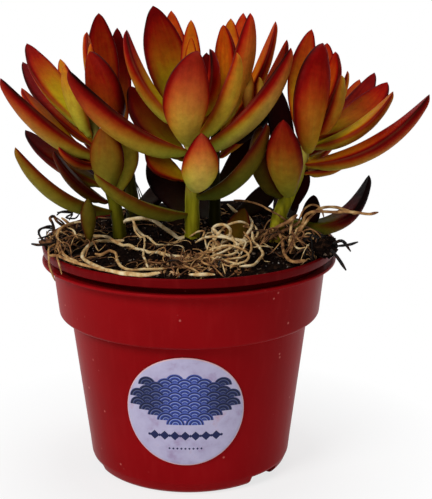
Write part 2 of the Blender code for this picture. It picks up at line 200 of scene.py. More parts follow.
def makeFloor():
    # matt white paper that shows as pure white further from the pot, and keeps the shadow near it
    p = stageLook
    material, tree, shader = newMaterial("white paper sweep", Roughness=0.9, Base_Color=p["floorColour"])
    place = addNode(tree, "TexCoord").outputs["Object"]
    distance = addNode(tree, "VectorMath", [place], operation="LENGTH")
    fade = addNode(tree, "MapRange", [distance, p["fadeFrom"], p["fadeTo"], p["glowAtPot"]])
    rays = addNode(tree, "LightPath").outputs
    seen = addNode(tree, "Math", [rays["Is Camera Ray"], rays["Is Glossy Ray"]], operation="MAXIMUM")
    share = addNode(tree, "Math", [seen, fade], operation="MULTIPLY")
    glow = addNode(tree, "Emission", {"Color": "#ffffff", "Strength": 1.0})
    both = addNode(tree, "MixShader", [share, shader, glow])
    plug(tree.nodes["Material Output"], {"Surface": both})
    corners = [(x * p["floorReach"], y * p["floorReach"], 0) for x, y in ((-1, -1), (1, -1), (1, 1), (-1, 1))]
    floor = meshObject("floor", corners, [(0, 1, 2, 3)], material, smooth=False)
    if floor.data.polygons[0].normal.z < 0:
        floor.data.flip_normals()
    floor.location.z = -p["floorDrop"]


def makeWorld():
    # white to the camera and in reflections, dim as a light
    world = bpy.data.worlds.new("studio")
    bpy.context.scene.world = world
    world.use_nodes = True
    tree = world.node_tree
    rays = addNode(tree, "LightPath").outputs
    some = addNode(tree, "Math", [rays["Is Camera Ray"], rays["Is Glossy Ray"]], operation="MAXIMUM")
    seen = addNode(tree, "Math", [some, rays["Is Transmission Ray"]], operation="MAXIMUM")
    strength = addNode(tree, "MapRange", [seen, 0, 1, stageLook["worldStrength"]])
    plug(tree.nodes["Background"], {"Color": "#ffffff", "Strength": strength})


def makeLamps():
    for name, (place, aim, size, power) in lampLook.items():
        light = bpy.data.lights.new(name, "AREA")
        light.shape = "DISK"
        light.size = size
        light.energy = power
        lamp = placeObject(name, light)
        lamp.location = place
        lamp.rotation_euler = (Vector((0, 0, aim)) - Vector(place)).to_track_quat("-Z", "Y").to_euler()


def makeCamera():
    p = stageLook
    data = bpy.data.cameras.new("camera")
    data.lens = p["lens"]
    data.sensor_width = p["sensor"]
    data.clip_start = 0.02
    camera = placeObject("camera", data)
    camera.location = p["cameraPlace"]
    camera.rotation_euler = (math.radians(90 - p["lookDown"]), 0, math.radians(p["lookAside"]))
    bpy.context.scene.camera = camera


makeCamera()
makeWorld()
makeFloor()
makeLamps()
bpy.context.scene.view_settings.view_transform = "Standard"
print("stage, lamps and camera are set")


# pots: radii and heights in mm, and the inner pot is painted a deeper red than the outer one, as painted
# shade on its lip
potLook = {"steps": 160, "rim": 51.0, "wall": 0.7, "nest": 0.35, "flange": 75.2, "lipLow": 77.7,
           "lipTop": 80.9, "collarLow": 55.8, "collarTopR": 47.5, "collarLowR": 45.6, "bodyTopR": 41.6,
           "bodyLowR": 36.0, "bodyLow": 10.0, "foot": 32.0, "floor": 1.2, "softness": 0.45,
           "notches": (48, 168, 288), "notchSize": (13.0, 9.0, 7.2), "notchDepth": 2.5,
           "outerReds": ("#86070c", "#920a10", "#9a1015"), "innerShadeReds": ("#5e0205", "#680307", "#700509")}


def redPolypropylene(name, shades):
    # injection-moulded polypropylene: deep red, satin, faint flow marks, dust and fine scuffs
    material, tree, shader = newMaterial(name, IOR=1.49, Specular_IOR_Level=0.025)
    place = addNode(tree, "TexCoord").outputs["Object"]
    clouds = addNode(tree, "TexNoise", {"Vector": place, "Scale": perMetre(45.5), "Detail": 4.0})
    base = addNode(tree, "ValToRGB", [clouds], list(zip((0.3, 0.55, 0.75), shades)))
    stretch = addNode(tree, "Mapping", {"Vector": place, "Scale": (1.0, 1.0, 0.12)})
    flow = addNode(tree, "TexNoise", {"Vector": stretch, "Scale": perMetre(2.38), "Detail": 3.0})
    streakFac = addNode(tree, "MapRange", [flow, 0.5, 0.8, 0, 0.12])
    streak = addNode(tree, "Mix", {0: streakFac, 6: base, 7: "#b02a2a"}, data_type="RGBA")
    dots = addNode(tree, "TexVoronoi", {"Vector": place, "Scale": perMetre(3.03)})
    pick = addNode(tree, "TexNoise", {"Vector": place, "Scale": perMetre(7.14), "Detail": 1.0})
    dotFac = addNode(tree, "MapRange", [dots, 0.16, 0.10])
    pickFac = addNode(tree, "MapRange", [pick, 0.60, 0.68])
    specks = addNode(tree, "Math", [dotFac, pickFac], operation="MULTIPLY")
    dust = addNode(tree, "Mix", {0: specks, 6: streak, 7: "#c2605a"}, data_type="RGBA")
    rough = addNode(tree, "MapRange", [clouds, 0.3, 0.7, 0.30, 0.42])
    grain = addNode(tree, "TexNoise", {"Vector": place, "Scale": perMetre(1.11), "Detail": 2.0})
    both = addNode(tree, "Math", [flow, grain], operation="ADD")
    bump = addNode(tree, "Bump", {"Height": both, "Strength": 0.06, "Distance": 0.0004})
    plug(shader, {"Base Color": dust, "Roughness": rough, "Normal": bump})
    return material


def roundedProfile(corners):
    # each corner of the outline gives way to a short arc of three points
    corners = [np.array(c, dtype=float) for c in corners]
    outline = [corners[0]]
    for before, corner, after in zip(corners, corners[1:], corners[2:]):
        ways = [other - corner for other in (before, after)]
        start, stop = (corner + unit(w) * min(potLook["softness"], 0.35 * np.linalg.norm(w)) for w in ways)
        outline += [start, 0.25 * start + 0.5 * corner + 0.25 * stop, stop]
    return outline + [corners[-1]]


def turnProfile(name, corners, material):
    # both ends of the outline lie on the axis
    outline = roundedProfile(corners)
    steps = potLook["steps"]
    vertices = []
    for r, z in outline[1:-1]:
        for k in range(steps):
            a = fullTurn * k / steps
            vertices.append((r * mm * math.sin(a), -r * mm * math.cos(a), z * mm))
    vertices += [(0, 0, z * mm) for _, z in (outline[0], outline[-1])]
    return meshObject(name, vertices, stackFaces(len(outline) - 2, steps), material)


def wallRadius(z):
    share = (z - potLook["bodyLow"]) / (potLook["collarLow"] - potLook["bodyLow"])
    return potLook["bodyLowR"] + share * (potLook["bodyTopR"] - potLook["bodyLowR"])


def outerOutline():
    p = SimpleNamespace(**potLook)
    low, high = p.bodyLowR - p.wall, p.bodyTopR - p.wall
    inside = [(0, p.floor), (p.foot, p.floor), (low - 1.6, p.floor + 1.4), (low - 0.5, p.floor + 4.4),
              (low, p.bodyLow), (high, p.collarLow), (p.collarLowR - p.wall, p.collarLow + 0.9),
              (p.collarTopR - p.wall, p.flange - 0.2)]
    flange = [(p.rim - 0.3, p.flange + 0.5), (p.rim, p.flange + 0.2), (p.rim, p.flange - 0.4),
              (p.rim - 0.5, p.flange - 0.5)]
    outside = [(p.collarTopR + 0.3, p.flange - 1.1), (p.collarTopR - 0.1, p.flange - 1.8),
               (p.collarLowR, p.collarLow + 0.7), (p.collarLowR - 0.6, p.collarLow),
               (p.bodyTopR + 0.4, p.collarLow - 0.6), (p.bodyTopR - 0.1, p.collarLow - 1.3),
               (p.bodyLowR, p.bodyLow), (p.bodyLowR - 0.6, 4.6), (p.bodyLowR - 1.9, 1.6),
               (p.bodyLowR - 3.0, 0.5), (p.foot, 0), (0, 0)]
    return inside + flange + outside


def innerOutline():
    p = SimpleNamespace(**potLook)
    clear, base = p.wall + p.nest, p.floor + p.nest
    low, high, ledge, top = (r - clear for r in (p.bodyLowR, p.bodyTopR, p.collarLowR, p.collarTopR))
    inside = [(0, base + p.wall), (p.foot - 1.5, base + p.wall), (low - p.wall - 0.5, base + 4.6),
              (low - p.wall, p.bodyLow + 0.5), (high - p.wall, p.collarLow + 1.1),
              (ledge - p.wall, p.collarLow + 2.1), (top - p.wall, p.lipLow + 0.5)]
    lip = [(p.rim - 2.0, p.lipLow + 0.9), (p.rim - 0.9, p.lipTop - 0.2), (p.rim - 0.6, p.lipTop),
           (p.rim, p.lipTop - 0.4), (p.rim - 0.5, p.lipLow), (p.rim - 1.2, p.lipLow)]
    outside = [(top + 0.3, p.lipLow - 0.3), (top, p.lipLow - 1.0), (ledge, p.collarLow + 2.3),
               (ledge - 0.7, p.collarLow + 1.5), (high, p.collarLow + 0.4), (low, p.bodyLow),
               (low - 0.6, base + 4.0), (low - 2.6, base + 1.0), (p.foot - 1.5, base), (0, base)]
    return inside + lip + outside


def cutNotches(pot):
    p = potLook
    blocks = []
    for angle in p["notches"]:
        work = bmesh.new()
        bmesh.ops.create_cube(work, size=1)
        reach = p["bodyLowR"] - p["notchDepth"]
        place = Matrix.Rotation(math.radians(angle), 4, "Z") @ Matrix.Translation((0, -reach * mm, 0))
        work.transform(place @ Matrix.Diagonal((*[s * mm for s in p["notchSize"]], 1)))
        data = bpy.data.meshes.new("notch")
        work.to_mesh(data)
        work.free()
        blocks.append(placeObject("notch", data))
        cut = pot.modifiers.new("notch", "BOOLEAN")
        cut.object = blocks[-1]
        cut.operation = "DIFFERENCE"
        cut.solver = "EXACT"
    plainMesh(pot)
    for block in blocks:
        bpy.data.objects.remove(block, do_unlink=True)


def makePots():
    outerRed = redPolypropylene("moulded polypropylene", potLook["outerReds"])
    # the inner pot's deeper reds are painted shade, darkening its lip
    innerShadeRed = redPolypropylene("moulded polypropylene, deep red", potLook["innerShadeReds"])
    outerPot = turnProfile("pot_outer", outerOutline(), outerRed)
    cutNotches(outerPot)
    finishPiece(outerPot, "pot_red", "outer_pot")
    finishPiece(turnProfile("pot_inner", innerOutline(), innerShadeRed), "pot_red", "inner_pot")


makePots()
print("pots are turned")


# sticker: sizes in mm, and the print in shares of its radius
labelLook = {"radius": 20.0, "height": 32.0, "turn": -2.5, "gap": 0.25, "thick": 0.3, "around": 96,
             "rings": 16, "scallops": 6.4, "clusterHeight": 0.16, "clusterWide": 0.86, "clusterTall": 0.46,
             "papers": ((0.32, "#a796bb"), (0.45, "#b9b3d3"), (0.58, "#c2bddb"), (0.72, "#bda3bd")),
             "inks": ((0.0, "#5566b4"), (0.12, "#2a3a86"), (0.17, "#8f9dd6"), (0.20, "#141c52"),
                      (0.31, "#34479a"), (0.35, "#98a4dc"), (0.38, "#0c1238"), (0.45, "#22307a"),
                      (0.485, "#5f70bd"), (0.5, "#0a0e2e")),
             # rows of diamonds: height, size, spacing, reach to each side, shift in spacings
             "diamonds": ((-0.44, 0.085, 0.17, 0.62, 0), (-0.44, 0.03, 0.17, 0.68, 0.5),
                          (-0.68, 0.022, 0.066, 0.28, 0))}


def printScallops(tree, x, y, colour):
    # overlapping scallops of blue ink, in rows half a scallop apart, inside an oval cluster
    p = labelLook
    sx = addNode(tree, "Math", [x, p["scallops"] / 2], operation="MULTIPLY")
    sy = addNode(tree, "Math", [y, p["scallops"] / 2 * 4], operation="MULTIPLY")
    top = addNode(tree, "Math", [sy], operation="FLOOR")
    across = 2 / p["scallops"] / p["clusterWide"]
    for below in (0, 1):  # the nearer row is painted last
        row = addNode(tree, "Math", [top, float(below)], operation="SUBTRACT")
        odd = addNode(tree, "Math", [row, 2.0], operation="FLOORED_MODULO")
        shift = addNode(tree, "Math", [odd, 0.5], operation="MULTIPLY")
        moved = addNode(tree, "Math", [sx, shift], operation="SUBTRACT")
        off = addNode(tree, "Math", [moved, 0.5, -0.5], operation="WRAP")
        rise = addNode(tree, "Math", [sy, row], operation="SUBTRACT")
        lift = addNode(tree, "Math", [rise, 0.25], operation="MULTIPLY")
        spot = addNode(tree, "CombineXYZ", [off, lift])
        reach = addNode(tree, "VectorMath", [spot], operation="LENGTH")
        rings = addNode(tree, "ValToRGB", [reach], p["inks"])
        centreX = addNode(tree, "Math", [sx, off], operation="SUBTRACT")
        wide = addNode(tree, "Math", [centreX, across], operation="MULTIPLY")
        outward = addNode(tree, "Math", [wide], operation="ABSOLUTE")
        depth = addNode(tree, "MapRange", [outward, 0.25, 0.62, 1.15, 0.34])
        ink = addNode(tree, "VectorMath", {0: rings, 3: depth}, operation="SCALE")
        tall = addNode(tree, "Math", [row, 0.5 / p["scallops"]], operation="MULTIPLY")
        tallMid = addNode(tree, "Math", [tall, p["clusterHeight"]], operation="SUBTRACT")
        tallShare = addNode(tree, "Math", [tallMid, 1 / p["clusterTall"]], operation="MULTIPLY")
        middle = addNode(tree, "CombineXYZ", [wide, tallShare])
        away = addNode(tree, "VectorMath", [middle], operation="LENGTH")
        inCluster = addNode(tree, "Math", [away, 1.0], operation="LESS_THAN")
        inScallop = addNode(tree, "Math", [reach, 0.5], operation="LESS_THAN")
        inked = addNode(tree, "Math", [inCluster, inScallop], operation="MULTIPLY")
        colour = addNode(tree, "Mix", {0: inked, 6: colour, 7: ink}, data_type="RGBA")
    return colour


def printDiamonds(tree, x, y, colour):
    for height, size, gap, reach, shift in labelLook["diamonds"]:
        slid = addNode(tree, "Math", [x, gap * shift], operation="ADD")
        off = addNode(tree, "Math", [slid, gap / 2, -gap / 2], operation="WRAP")
        side = addNode(tree, "Math", [off], operation="ABSOLUTE")
        rise = addNode(tree, "Math", [y, height], operation="SUBTRACT")
        level = addNode(tree, "Math", [rise], operation="ABSOLUTE")
        total = addNode(tree, "Math", [side, level], operation="ADD")
        inside = addNode(tree, "Math", [total, size], operation="LESS_THAN")
        far = addNode(tree, "Math", [x], operation="ABSOLUTE")
        near = addNode(tree, "Math", [far, reach], operation="LESS_THAN")
        inked = addNode(tree, "Math", [inside, near], operation="MULTIPLY")
        colour = addNode(tree, "Mix", {0: inked, 6: colour, 7: "#1b2250"}, data_type="RGBA")
    return colour


def labelPaper():
    # coated label paper: pale lilac with soft pink clouds, printed in blue, with a pink cut edge
    material, tree, shader = newMaterial("coated label paper", Roughness=0.42, IOR=1.5,
                                         Specular_IOR_Level=0.2)
    uv = addNode(tree, "UVMap", uv_map="face")
    place = addNode(tree, "Mapping", {"Vector": uv, "Location": (-1, -1, 0), "Scale": (2, 2, 2)})
    x, y, _ = addNode(tree, "SeparateXYZ", [place]).outputs
    radius = labelLook["radius"]
    clouds = addNode(tree, "TexNoise", {
        "Vector": place, "Scale": radius / 7.7, "Detail": 6.0, "Roughness": 0.6})
    paper = addNode(tree, "ValToRGB", [clouds], labelLook["papers"])
    printed = printDiamonds(tree, x, y, printScallops(tree, x, y, paper))
    out = addNode(tree, "VectorMath", [place], operation="LENGTH")
    edge = addNode(tree, "MapRange", [out, 0.975, 0.99])
    colour = addNode(tree, "Mix", {0: edge, 6: printed, 7: "#e4b9bd"}, data_type="RGBA")
    fibre = addNode(tree, "TexNoise", {"Vector": place, "Scale": radius / 0.333, "Detail": 3.0})
    bump = addNode(tree, "Bump", {"Height": fibre, "Strength": 0.05, "Distance": 0.0002})
    plug(shader, {"Base Color": colour, "Normal": bump})
    return material


def makeLabel():
    # a round sheet of rings, front then edge then back, bent round the tapered wall
    p = SimpleNamespace(**labelLook)
    slope = math.atan2(potLook["bodyTopR"] - potLook["bodyLowR"], potLook["collarLow"] - potLook["bodyLow"])
    front = p.gap + p.thick
    rings = [(k / p.rings, front) for k in range(1, p.rings)] + [(0.992, front)]
    rings += [(1.0, p.gap + 0.6 * p.thick), (1.0, p.gap + 0.3 * p.thick), (0.99, p.gap)]
    rings += [(k / 6, p.gap) for k in range(5, 0, -1)]
    vertices, flats = [], []

    def put(across, along, lift):
        height = p.height + along * math.cos(slope)
        radius = wallRadius(height)
        angle = across / radius + math.radians(p.turn)
        radius += lift * math.cos(slope)
        height -= lift * math.sin(slope)
        vertices.append((radius * mm * math.sin(angle), -radius * mm * math.cos(angle), height * mm))
        flats.append((0.5 + 0.5 * across / p.radius, 0.5 + 0.5 * along / p.radius))

    for share, lift in rings:
        for k in range(p.around):
            a = fullTurn * k / p.around
            put(p.radius * share * math.cos(a), p.radius * share * math.sin(a), lift)
    put(0, 0, front)
    put(0, 0, p.gap)
    label = meshObject("sticker", vertices, stackFaces(len(rings), p.around), labelPaper())
    layer = label.data.uv_layers.new(name="face")
    for loop in label.data.loops:
        layer.data[loop.index].uv = flats[loop.vertex_index]
    finishPiece(label, "label_paper", "label")


makeLabel()
print("sticker is on")


# soil: sizes in mm
soilLook = {"radius": 49.3, "height": 80.0, "crown": 5.2, "lump": 0.8, "around": 180, "rings": 70,
            # radius and height of each ring below the top, down inside the pot
            "below": ((48.0, 79.0), (44.6, 76.0), (43.6, 60.0), (39.4, 56.0), (33.6, 12.0), (29.0, 4.0)),
            "roughRise": 0.9, "roughScale": 0.45, "fineRise": 0.35, "fineScale": 1.6, "lipCalm": 0.7,
            "sink": 0.1, "topFrom": 79.5, "barkPatch": (2, -38, 17, 8), "swell": 0.3, "swellScale": 1.7,
            "clodPlace": (44.5, -23, 84), "clodSize": (5.0, 6.5, 2.8),
            "bankPlace": (4, 31, 82), "bankSize": (30, 9, 5.4)}
# rough soil: how fast its finer detail fades, and how much finer each step is
detailFade, detailStep = 0.8, 2.1
# loose bits: size, how many (on the clod, in each square cm), seed, flatness
looseBits = {"soil_crumbs": (0.55, 9000, 4, 0.8), "soil_grit": (0.38, 300, 9, 0.8),
             "soil_bark": (1.2, 190, 5, 0.35), "soil_clod_crumbs": (0.6, 110, 6, 0.8)}


def soilHeight(x, y):
    p = soilLook
    radius = min(1.0, math.hypot(x, y) / p["radius"])
    lumps = math.sin(0.42 * x + 1.3) * math.cos(0.37 * y) + 0.6 * math.sin(0.23 * y - 0.31 * x + 0.5)
    return p["height"] + p["crown"] * (1 - radius ** 2) + p["lump"] * lumps * (1 - radius ** 4)


def pottingSoil():
    # peat and bark potting soil: near black, matt, with browner crumbs and pale grit
    material, tree, shader = newMaterial("peat potting soil", Roughness=0.95, Specular_IOR_Level=0.03)
    place = addNode(tree, "TexCoord").outputs["Object"]
    grains = addNode(tree, "TexVoronoi", {"Vector": place, "Scale": perMetre(1.11)}).outputs["Color"]
    clouds = addNode(tree, "TexNoise", {
        "Vector": place, "Scale": perMetre(3.85), "Detail": 6.0, "Roughness": 0.7})
    grey = addNode(tree, "SeparateColor", [grains])
    tone = addNode(tree, "ValToRGB", [grey], [(0.0, "#060303"), (0.55, "#100907"), (0.85, "#1e120c"),
                                              (0.96, "#40291b"), (1.0, "#9a8672")])
    dark = addNode(tree, "ValToRGB", [clouds], [(0.35, "#030202"), (0.65, "#1a0f0a")])
    both = addNode(tree, "Mix", {0: 0.5, 6: tone, 7: dark}, data_type="RGBA")
    bump = addNode(tree, "Bump", {"Height": clouds, "Strength": 0.8, "Distance": 0.001})
    plug(shader, {"Base Color": both, "Normal": bump})
    return material


def greyGrit():
    # pumice and perlite grit: chalky off-white
    material, tree, shader = newMaterial("pumice grit", Roughness=0.9)
    place = addNode(tree, "TexCoord").outputs["Object"]
    clouds = addNode(tree, "TexNoise", {"Vector": place, "Scale": perMetre(3.33), "Detail": 4.0})
    tone = addNode(tree, "ValToRGB", [clouds], [(0.35, "#5d5650"), (0.6, "#a39b92"), (0.75, "#d8d2ca")])
    plug(shader, {"Base Color": tone})
    return material


def barkChip():
    # dry bark and dead leaf flakes: orange brown to dark brown, matt
    material, tree, shader = newMaterial("dry bark flake", Roughness=0.85, Specular_IOR_Level=0.1)
    place = addNode(tree, "TexCoord").outputs["Object"]
    cells = addNode(tree, "TexVoronoi", {"Vector": place, "Scale": perMetre(2.38)}).outputs["Color"]
    pick = addNode(tree, "SeparateColor", [cells])
    tone = addNode(tree, "ValToRGB", [pick], [(0.0, "#2a150b"), (0.4, "#63391f"), (0.7, "#95633a"),
                                              (0.9, "#bf8f5e"), (1.0, "#e0b98a")])
    grain = addNode(tree, "TexNoise", {"Vector": place, "Scale": perMetre(1.43), "Detail": 4.0})
    bump = addNode(tree, "Bump", {"Height": grain, "Strength": 0.5, "Distance": 0.0004})
    plug(shader, {"Base Color": tone, "Normal": bump})
    return material


def newGeometryTree(name, inputs):
    # inputs: label -> starting value, a whole number or a length
    tree = bpy.data.node_groups.new(name, "GeometryNodeTree")
    face = tree.interface
    face.new_socket("Geometry", in_out="INPUT", socket_type="NodeSocketGeometry")
    for label, value in inputs.items():
        kind = "NodeSocketInt" if isinstance(value, int) else "NodeSocketFloat"
        face.new_socket(label, in_out="INPUT", socket_type=kind).default_value = value
    face.new_socket("Geometry", in_out="OUTPUT", socket_type="NodeSocketGeometry")
    return tree, addNode(tree, "NodeGroupInput").outputs


def scatterTree(name, material, size, density, seed, flatness):
    # crumbs over a surface: instances of one small lump
    tree, given = newGeometryTree(name, {"Grain size": size * mm, "Density": float(density), "Seed": seed})
    spots = addNode(tree, "GeometryNodeDistributePointsOnFaces", {
        "Mesh": given["Geometry"], "Density": given["Density"], "Seed": given["Seed"]})
    lump = addNode(tree, "GeometryNodeMeshIcoSphere", {"Radius": given["Grain size"], "Subdivisions": 1})
    sizes = addNode(tree, "FunctionNodeRandomValue", {
        0: (0.35, 0.35, 0.35 * flatness), 1: (1.25, 1.0, 1.0 * flatness), "Seed": given["Seed"]},
        data_type="FLOAT_VECTOR")
    spin = addNode(tree, "FunctionNodeRandomValue", {
        0: (0, 0, 0), 1: (6.28, 6.28, 6.28), "Seed": given["Seed"]}, data_type="FLOAT_VECTOR")
    turned = addNode(tree, "FunctionNodeEulerToRotation", [spin])
    laid = addNode(tree, "GeometryNodeInstanceOnPoints", {
        "Points": spots, "Instance": lump, "Rotation": turned, "Scale": sizes})
    real = addNode(tree, "GeometryNodeRealizeInstances", {"Geometry": laid})
    coat = addNode(tree, "GeometryNodeSetMaterial", {"Geometry": real, "Material": material})
    addNode(tree, "NodeGroupOutput", {"Geometry": coat})
    return tree


def growOn(name, data, tree, **values):
    # the tree grows on the mesh, and its result is kept as a plain mesh
    piece = placeObject(name, data)
    grow = piece.modifiers.new("grow", "NODES")
    grow.node_group = tree
    for item in tree.interface.items_tree:
        if item.in_out == "INPUT" and item.name in values:
            grow[item.identifier] = values[item.name]
    return plainMesh(piece)


def lumpMesh(name, place, size, material):
    # a rough round lump, closed at both poles
    around, rings, vertices = 36, 18, []
    for j in range(1, rings):
        high = math.pi * j / rings
        for k in range(around):
            a = fullTurn * k / around
            out = Vector((math.sin(high) * math.cos(a), math.sin(high) * math.sin(a), math.cos(high)))
            rough = noise.fractal(out * soilLook["swellScale"], detailFade, detailStep, 4)
            swell = 1 + soilLook["swell"] * rough
            vertices.append(tuple((place[i] + size[i] * out[i] * swell) * mm for i in range(3)))
    x, y, z = place
    vertices += [(x * mm, y * mm, (z + size[2] * way) * mm) for way in (1, -1)]
    return meshObject(name, vertices, stackFaces(rings - 1, around), material)


def moundMesh():
    # the rough top from the middle out, then down inside the pot to a flat underside
    p = soilLook
    n = p["around"]
    circle = [(math.cos(fullTurn * k / n), math.sin(fullTurn * k / n)) for k in range(n)]
    vertices, faces = [], []
    for j in range(1, p["rings"] + 1):
        share = j / p["rings"]
        r = p["radius"] * share
        for c, s in circle:
            x, y = r * c, r * s
            rough = noise.fractal(Vector((x, y, 0)) * p["roughScale"], detailFade, detailStep, 5)
            fine = noise.noise(Vector((x, y, 3.0)) * p["fineScale"])
            calm = 1 - p["lipCalm"] * share ** 8
            height = soilHeight(x, y) + (p["roughRise"] * rough + p["fineRise"] * fine) * calm - p["sink"]
            vertices.append((x * mm, y * mm, height * mm))
    starts = [j * n for j in range(p["rings"])]
    middle = len(vertices)
    vertices.append((0, 0, soilHeight(0, 0) * mm))
    for r, z in p["below"]:
        starts.append(len(vertices))
        vertices += [(r * mm * c, r * mm * s, z * mm) for c, s in circle]
    for a, b in zip(starts, starts[1:]):
        faces += [(a + k, a + (k + 1) % n, b + (k + 1) % n, b + k) for k in range(n)]
    faces += [(middle, k, (k + 1) % n) for k in range(n)]
    faces += [(len(vertices), starts[-1] + (k + 1) % n, starts[-1] + k) for k in range(n)]
    vertices.append((0, 0, p["below"][-1][1] * mm))
    return vertices, faces


def scatterBits(name, sheet, material, area):
    size, count, seed, flatness = looseBits[name]
    tree = scatterTree(name, material, size, count / (area * mm * mm), seed, flatness)
    finishPiece(growOn(name, sheet, tree), "potting_soil")


def makeSoil():
    p = soilLook
    peat = pottingSoil()
    vertices, faces = moundMesh()
    soil = meshObject("soil_mound", vertices, faces, peat)
    finishPiece(soil, "potting_soil", "soil")
    topFaces = [f for f in faces if all(vertices[i][2] > p["topFrom"] * mm for i in f)]
    top = bpy.data.meshes.new("soil_top")
    top.from_pydata(vertices, [], topFaces)
    scatterBits("soil_crumbs", top, peat, math.pi * p["radius"] ** 2)
    scatterBits("soil_grit", top, greyGrit(), math.pi * p["radius"] ** 2)
    # bark lies in front of the middle stems
    barkX, barkY, wide, deep = p["barkPatch"]
    patch = [f for f in topFaces if ((vertices[f[0]][0] / mm - barkX) / wide) ** 2
             + ((vertices[f[0]][1] / mm - barkY) / deep) ** 2 < 1]
    bed = bpy.data.meshes.new("bark_bed")
    bed.from_pydata(vertices, [], patch)
    scatterBits("soil_bark", bed, barkChip(), math.pi * wide * deep)
    # a crumbly clod leans over the right of the lip, and a bank rises behind the stems
    clod = lumpMesh("soil_clod", p["clodPlace"], p["clodSize"], peat)
    bank = lumpMesh("soil_bank", p["bankPlace"], p["bankSize"], peat)
    for piece in (clod, bank):
        finishPiece(piece, "potting_soil")
    squareCm = 100
    scatterBits("soil_clod_crumbs", clod.data, peat, squareCm)


makeSoil()
print("soil is filled")


# stems: points in mm from the foot up, radius at foot and top, and how light the skin is painted, as painted
# shade on the stems behind and painted light on the front ones
stemLook = {
    "stem_left": (((-24, -8, 70), (-24, -8, 88), (-28, -7, 106), (-33, -4, 126)), 2.6, 1.6, 0.6),
    "stem_back": (((-20, 9, 70), (-20, 9, 92), (-23, 13, 110), (-27, 15, 127)), 2.6, 1.7, 0.3),
    "stem_centre": (((1, -15, 70), (1, -15, 92), (1, -14, 108), (0, -12, 128)), 2.8, 1.8, 1.3),
    "stem_middle": (((9, 6, 70), (9, 6, 92), (9, 7, 108), (10, 6, 126)), 2.4, 1.5, 0.1),
    "stem_right": (((30, -13, 70), (30, -13, 90), (37, -8, 106), (42, -4, 126)), 3.0, 1.7, 1.7)}
stemSides, stemRings = 18, 70
stemSwell, stemJoint = 0.05, 0.03


def stemSkin():
    # succulent stem: waxy olive green, paler along its length, with brown leaf scars
    material, tree, shader = newMaterial(
        "succulent stem skin", Roughness=0.5, IOR=1.42, Specular_IOR_Level=0.04, Subsurface_Weight=0.08,
        Subsurface_Radius=(0.002, 0.001, 0.0005))
    place = addNode(tree, "TexCoord").outputs["Object"]
    stretch = addNode(tree, "Mapping", {"Vector": place, "Scale": (1.0, 1.0, 0.16)})
    streaks = addNode(tree, "TexNoise", {"Vector": stretch, "Scale": perMetre(2.38), "Detail": 4.0})
    tone = addNode(tree, "ValToRGB", [streaks], [(0.30, "#4a4606"), (0.46, "#67620c"), (0.60, "#7f7a16"),
                                                 (0.78, "#968f34")])
    scars = addNode(tree, "TexNoise", {"Vector": place, "Scale": perMetre(6.67), "Detail": 3.0})
    scarFac = addNode(tree, "MapRange", [scars, 0.62, 0.72, 0, 0.7])
    marked = addNode(tree, "Mix", {0: scarFac, 6: tone, 7: "#5a3c14"}, data_type="RGBA")
    height = addNode(tree, "SeparateXYZ", [place]).outputs[2]
    young = addNode(tree, "MapRange", [height, 98 * mm, 116 * mm])
    fresh = addNode(tree, "Mix", {0: young, 6: marked, 7: "#95893c"}, data_type="RGBA")
    # each stem's colour is scaled by its painted shade and painted light
    shade = addNode(tree, "Attribute", attribute_name="value").outputs["Fac"]
    toned = addNode(tree, "VectorMath", {0: fresh, 3: shade}, operation="SCALE")
    bump = addNode(tree, "Bump", {"Height": streaks, "Strength": 0.25, "Distance": 0.0005})
    plug(shader, {"Base Color": toned, "Normal": bump})
    return material


def tubeMesh(name, path, radii, steps, material, **attributes):
    along = unit(np.gradient(path, axis=0))
    side = np.cross(along[0], (0.3, 0.9, 0.1))
    vertices = []
    for place, heading, radius in zip(path, along, radii):
        side = unit(side - (side @ heading) * heading)
        other = np.cross(heading, side)
        for k in range(steps):
            a = fullTurn * k / steps
            vertices.append((place + radius * (math.cos(a) * side + math.sin(a) * other)) * mm)
    vertices += [path[0] * mm, (path[-1] + along[-1] * radii[-1] * 0.3) * mm]
    return meshObject(name, vertices, stackFaces(len(path), steps), material, **attributes)


def makeStems():
    skin = stemSkin()
    for name, (points, footR, topR, shade) in stemLook.items():
        path = smoothPath(points, stemRings)
        swell = np.array([noise.noise(Vector((z * 0.35, footR, 1.0))) for z in path[:, 2]])
        joints = np.sin(path[:, 2] * 0.9 + footR * 7)
        radii = np.linspace(footR, topR, len(path)) * (1 + stemSwell * swell + stemJoint * joints)
        shades = [shade] * (len(path) * stemSides + 2)
        finishPiece(tubeMesh(name + "_skin", path, radii, stemSides, skin, value=shades), "stem_green", name)


makeStems()
print("stems stand")


# leaves
leafLook = {"sides": 28, "rings": 34, "upperShare": 0.22, "channel": 0.42, "sink": 1.1, "capShare": 0.03,
            "wobble": 0.035, "dent": 0.1, "thinnest": 0.02, "keelRound": 0.92, "keelShare": 0.82,
            "stations": (0.025, 0.12, 0.27, 0.43, 0.58, 0.73, 0.87, 0.965),
            # share of its full width and thickness that a small leaf has at each station
            "widths": (0.34, 0.47, 0.68, 0.90, 1.00, 0.92, 0.62, 0.27),
            "depths": (0.50, 0.80, 0.97, 1.00, 0.93, 0.78, 0.55, 0.30)}
